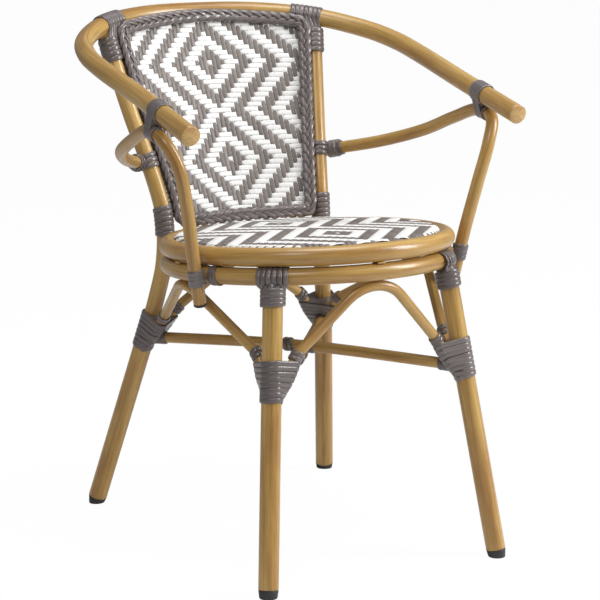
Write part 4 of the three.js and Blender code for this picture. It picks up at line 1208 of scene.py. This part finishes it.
for name, spot, way in (("right", 0, -1), ("left", rail.length, 1)):
    end_piece("cap_" + name, "rail_cap_" + name, bare_end, rail.at(spot)[0], rail.heading(spot)[0] * way,
              RAIL_RADIUS, CAP_EDGES, CAP_HEIGHT)
for side in sides:
    path = side.support
    end_piece("plug_" + side.name, "support_plug_" + side.name, black_plastic, path.at(path.length)[0],
              path.heading(path.length)[0], SUPPORT_RADIUS, PLUG_EDGES, PLUG_HEIGHT)
slit = LOWER_RING_HEIGHT + LOWER_RING_TUBE + RING_SLIT / 2
for name, angle in (("front", -math.pi / 2), ("right", 0), ("rear", math.pi / 2), ("left", math.pi)):
    mesh = Mesh()
    for radius in (SEAT_RADIUS - SADDLE_OUTSET, SEAT_RADIUS + SADDLE_OUTSET):
        ends = [ring_point(angle + half / SEAT_RADIUS, slit, radius) for half in (-SADDLE_HALF, SADDLE_HALF)]
        tube(mesh, straight(*ends, 3), SADDLE_ROD, sides=16)
    mesh.piece("saddle_" + name, bamboo, "ring_spacer_" + name)
for side in sides:
    height = SEAT_HEIGHT - SEAT_RADIUS * math.sin(SEAT_TILT)
    axis = side.post.at(side.post.where(2, height, 0.2, 0.8))[0]
    inner = ring_point(math.atan2(axis[1], axis[0]), SEAT_HEIGHT)
    mesh = Mesh()
    tube(mesh, straight(inner, [axis[0], axis[1], inner[2]]), STUB_RADIUS, sides=24)
    mesh.piece("stub_" + side.name, bamboo, "post_spacer_" + side.name)


# Camera, floor and light

CAMERA_PLACE = (-1.5647, -2.776, 1.0003)
CAMERA_YAW = math.radians(-29.225)
CAMERA_PITCH = math.radians(11.352)
FOCAL_SHARE = 2197.37 / 600
FLOOR_REACH = 60.0
FLOOR_GREY = 0.78
GLOW_STRENGTH = 1.02
GLOW_SHARE = 0.95
WORLD_STRENGTH = 0.25


def place_facing(obj, place, forward, right):
    """Links a camera or lamp to the scene, at a place, looking forward."""
    upward = np.cross(right, forward)
    pose = np.eye(4)
    pose[:3] = np.stack([right, upward, -forward, place], 1)
    obj.matrix_world = Matrix(pose.tolist())
    bpy.context.scene.collection.objects.link(obj)


def softbox(name, place, target, size, power):
    data = bpy.data.lights.new(name, "AREA")
    data.shape = "RECTANGLE"
    data.size, data.size_y = size
    data.energy = power
    forward = unit(np.subtract(target, place))
    place_facing(bpy.data.objects.new(name, data), place, forward, unit(np.cross(forward, [0, 0, 1])))


def floor_material():
    """A pale floor: mostly a plain glow to the camera, and a diffuse surface to everything else."""
    build = Nodes("floor")
    diffuse = build.node("ShaderNodeBsdfDiffuse", {"Color": (FLOOR_GREY, FLOOR_GREY, FLOOR_GREY, 1)})
    glow = build.node("ShaderNodeEmission", {"Color": (1, 1, 1, 1), "Strength": GLOW_STRENGTH})
    seen = build.node("ShaderNodeLightPath").outputs["Is Camera Ray"]
    share = build.node("ShaderNodeMath", {0: seen, 1: GLOW_SHARE})
    share.operation = "MULTIPLY"
    blend = build.node("ShaderNodeMixShader", {
        "Fac": share.outputs[0], 1: diffuse.outputs["BSDF"], 2: glow.outputs["Emission"]})
    build.feed(build.out, {"Surface": blend.outputs["Shader"]})
    return build.material


camera_data = bpy.data.cameras.new("camera")
camera_data.sensor_width = 36
camera_data.lens = FOCAL_SHARE * camera_data.sensor_width
camera_data.clip_end = 100
camera = bpy.data.objects.new("camera", camera_data)
level = np.array([-math.sin(CAMERA_YAW), math.cos(CAMERA_YAW), 0])
forward = level * math.cos(CAMERA_PITCH) - [0, 0, math.sin(CAMERA_PITCH)]
right = np.array([math.cos(CAMERA_YAW), math.sin(CAMERA_YAW), 0])
place_facing(camera, np.array(CAMERA_PLACE) + ORIGIN_SHIFT, forward, right)
bpy.context.scene.camera = camera

floor_mesh = bpy.data.meshes.new("floor")
corners = [(x * FLOOR_REACH, y * FLOOR_REACH, 0) for x, y in ((-1, -1), (1, -1), (1, 1), (-1, 1))]
floor_mesh.from_pydata(corners, [], [(0, 1, 2, 3)])
floor_mesh.materials.append(floor_material())
floor = bpy.data.objects.new("floor", floor_mesh)
bpy.context.scene.collection.objects.link(floor)

world = bpy.data.worlds.new("studio")
bpy.context.scene.world = world
world.use_nodes = True
background = world.node_tree.nodes["Background"]
background.inputs["Color"].default_value = (1, 1, 1, 1)
background.inputs["Strength"].default_value = WORLD_STRENGTH

softbox("key", (2.5, -1.8, 1.9), (0, 0, 0.45), (0.7, 1.8), 84)
softbox("fill", (-1.6, -1.8, 2.8), (0, 0, 0.6), (0.8, 0.8), 19)
softbox("top", (0.3, -0.2, 3.0), (0, 0, 0.4), (1.4, 1.4), 34)

bpy.context.scene.view_settings.view_transform = "Standard"
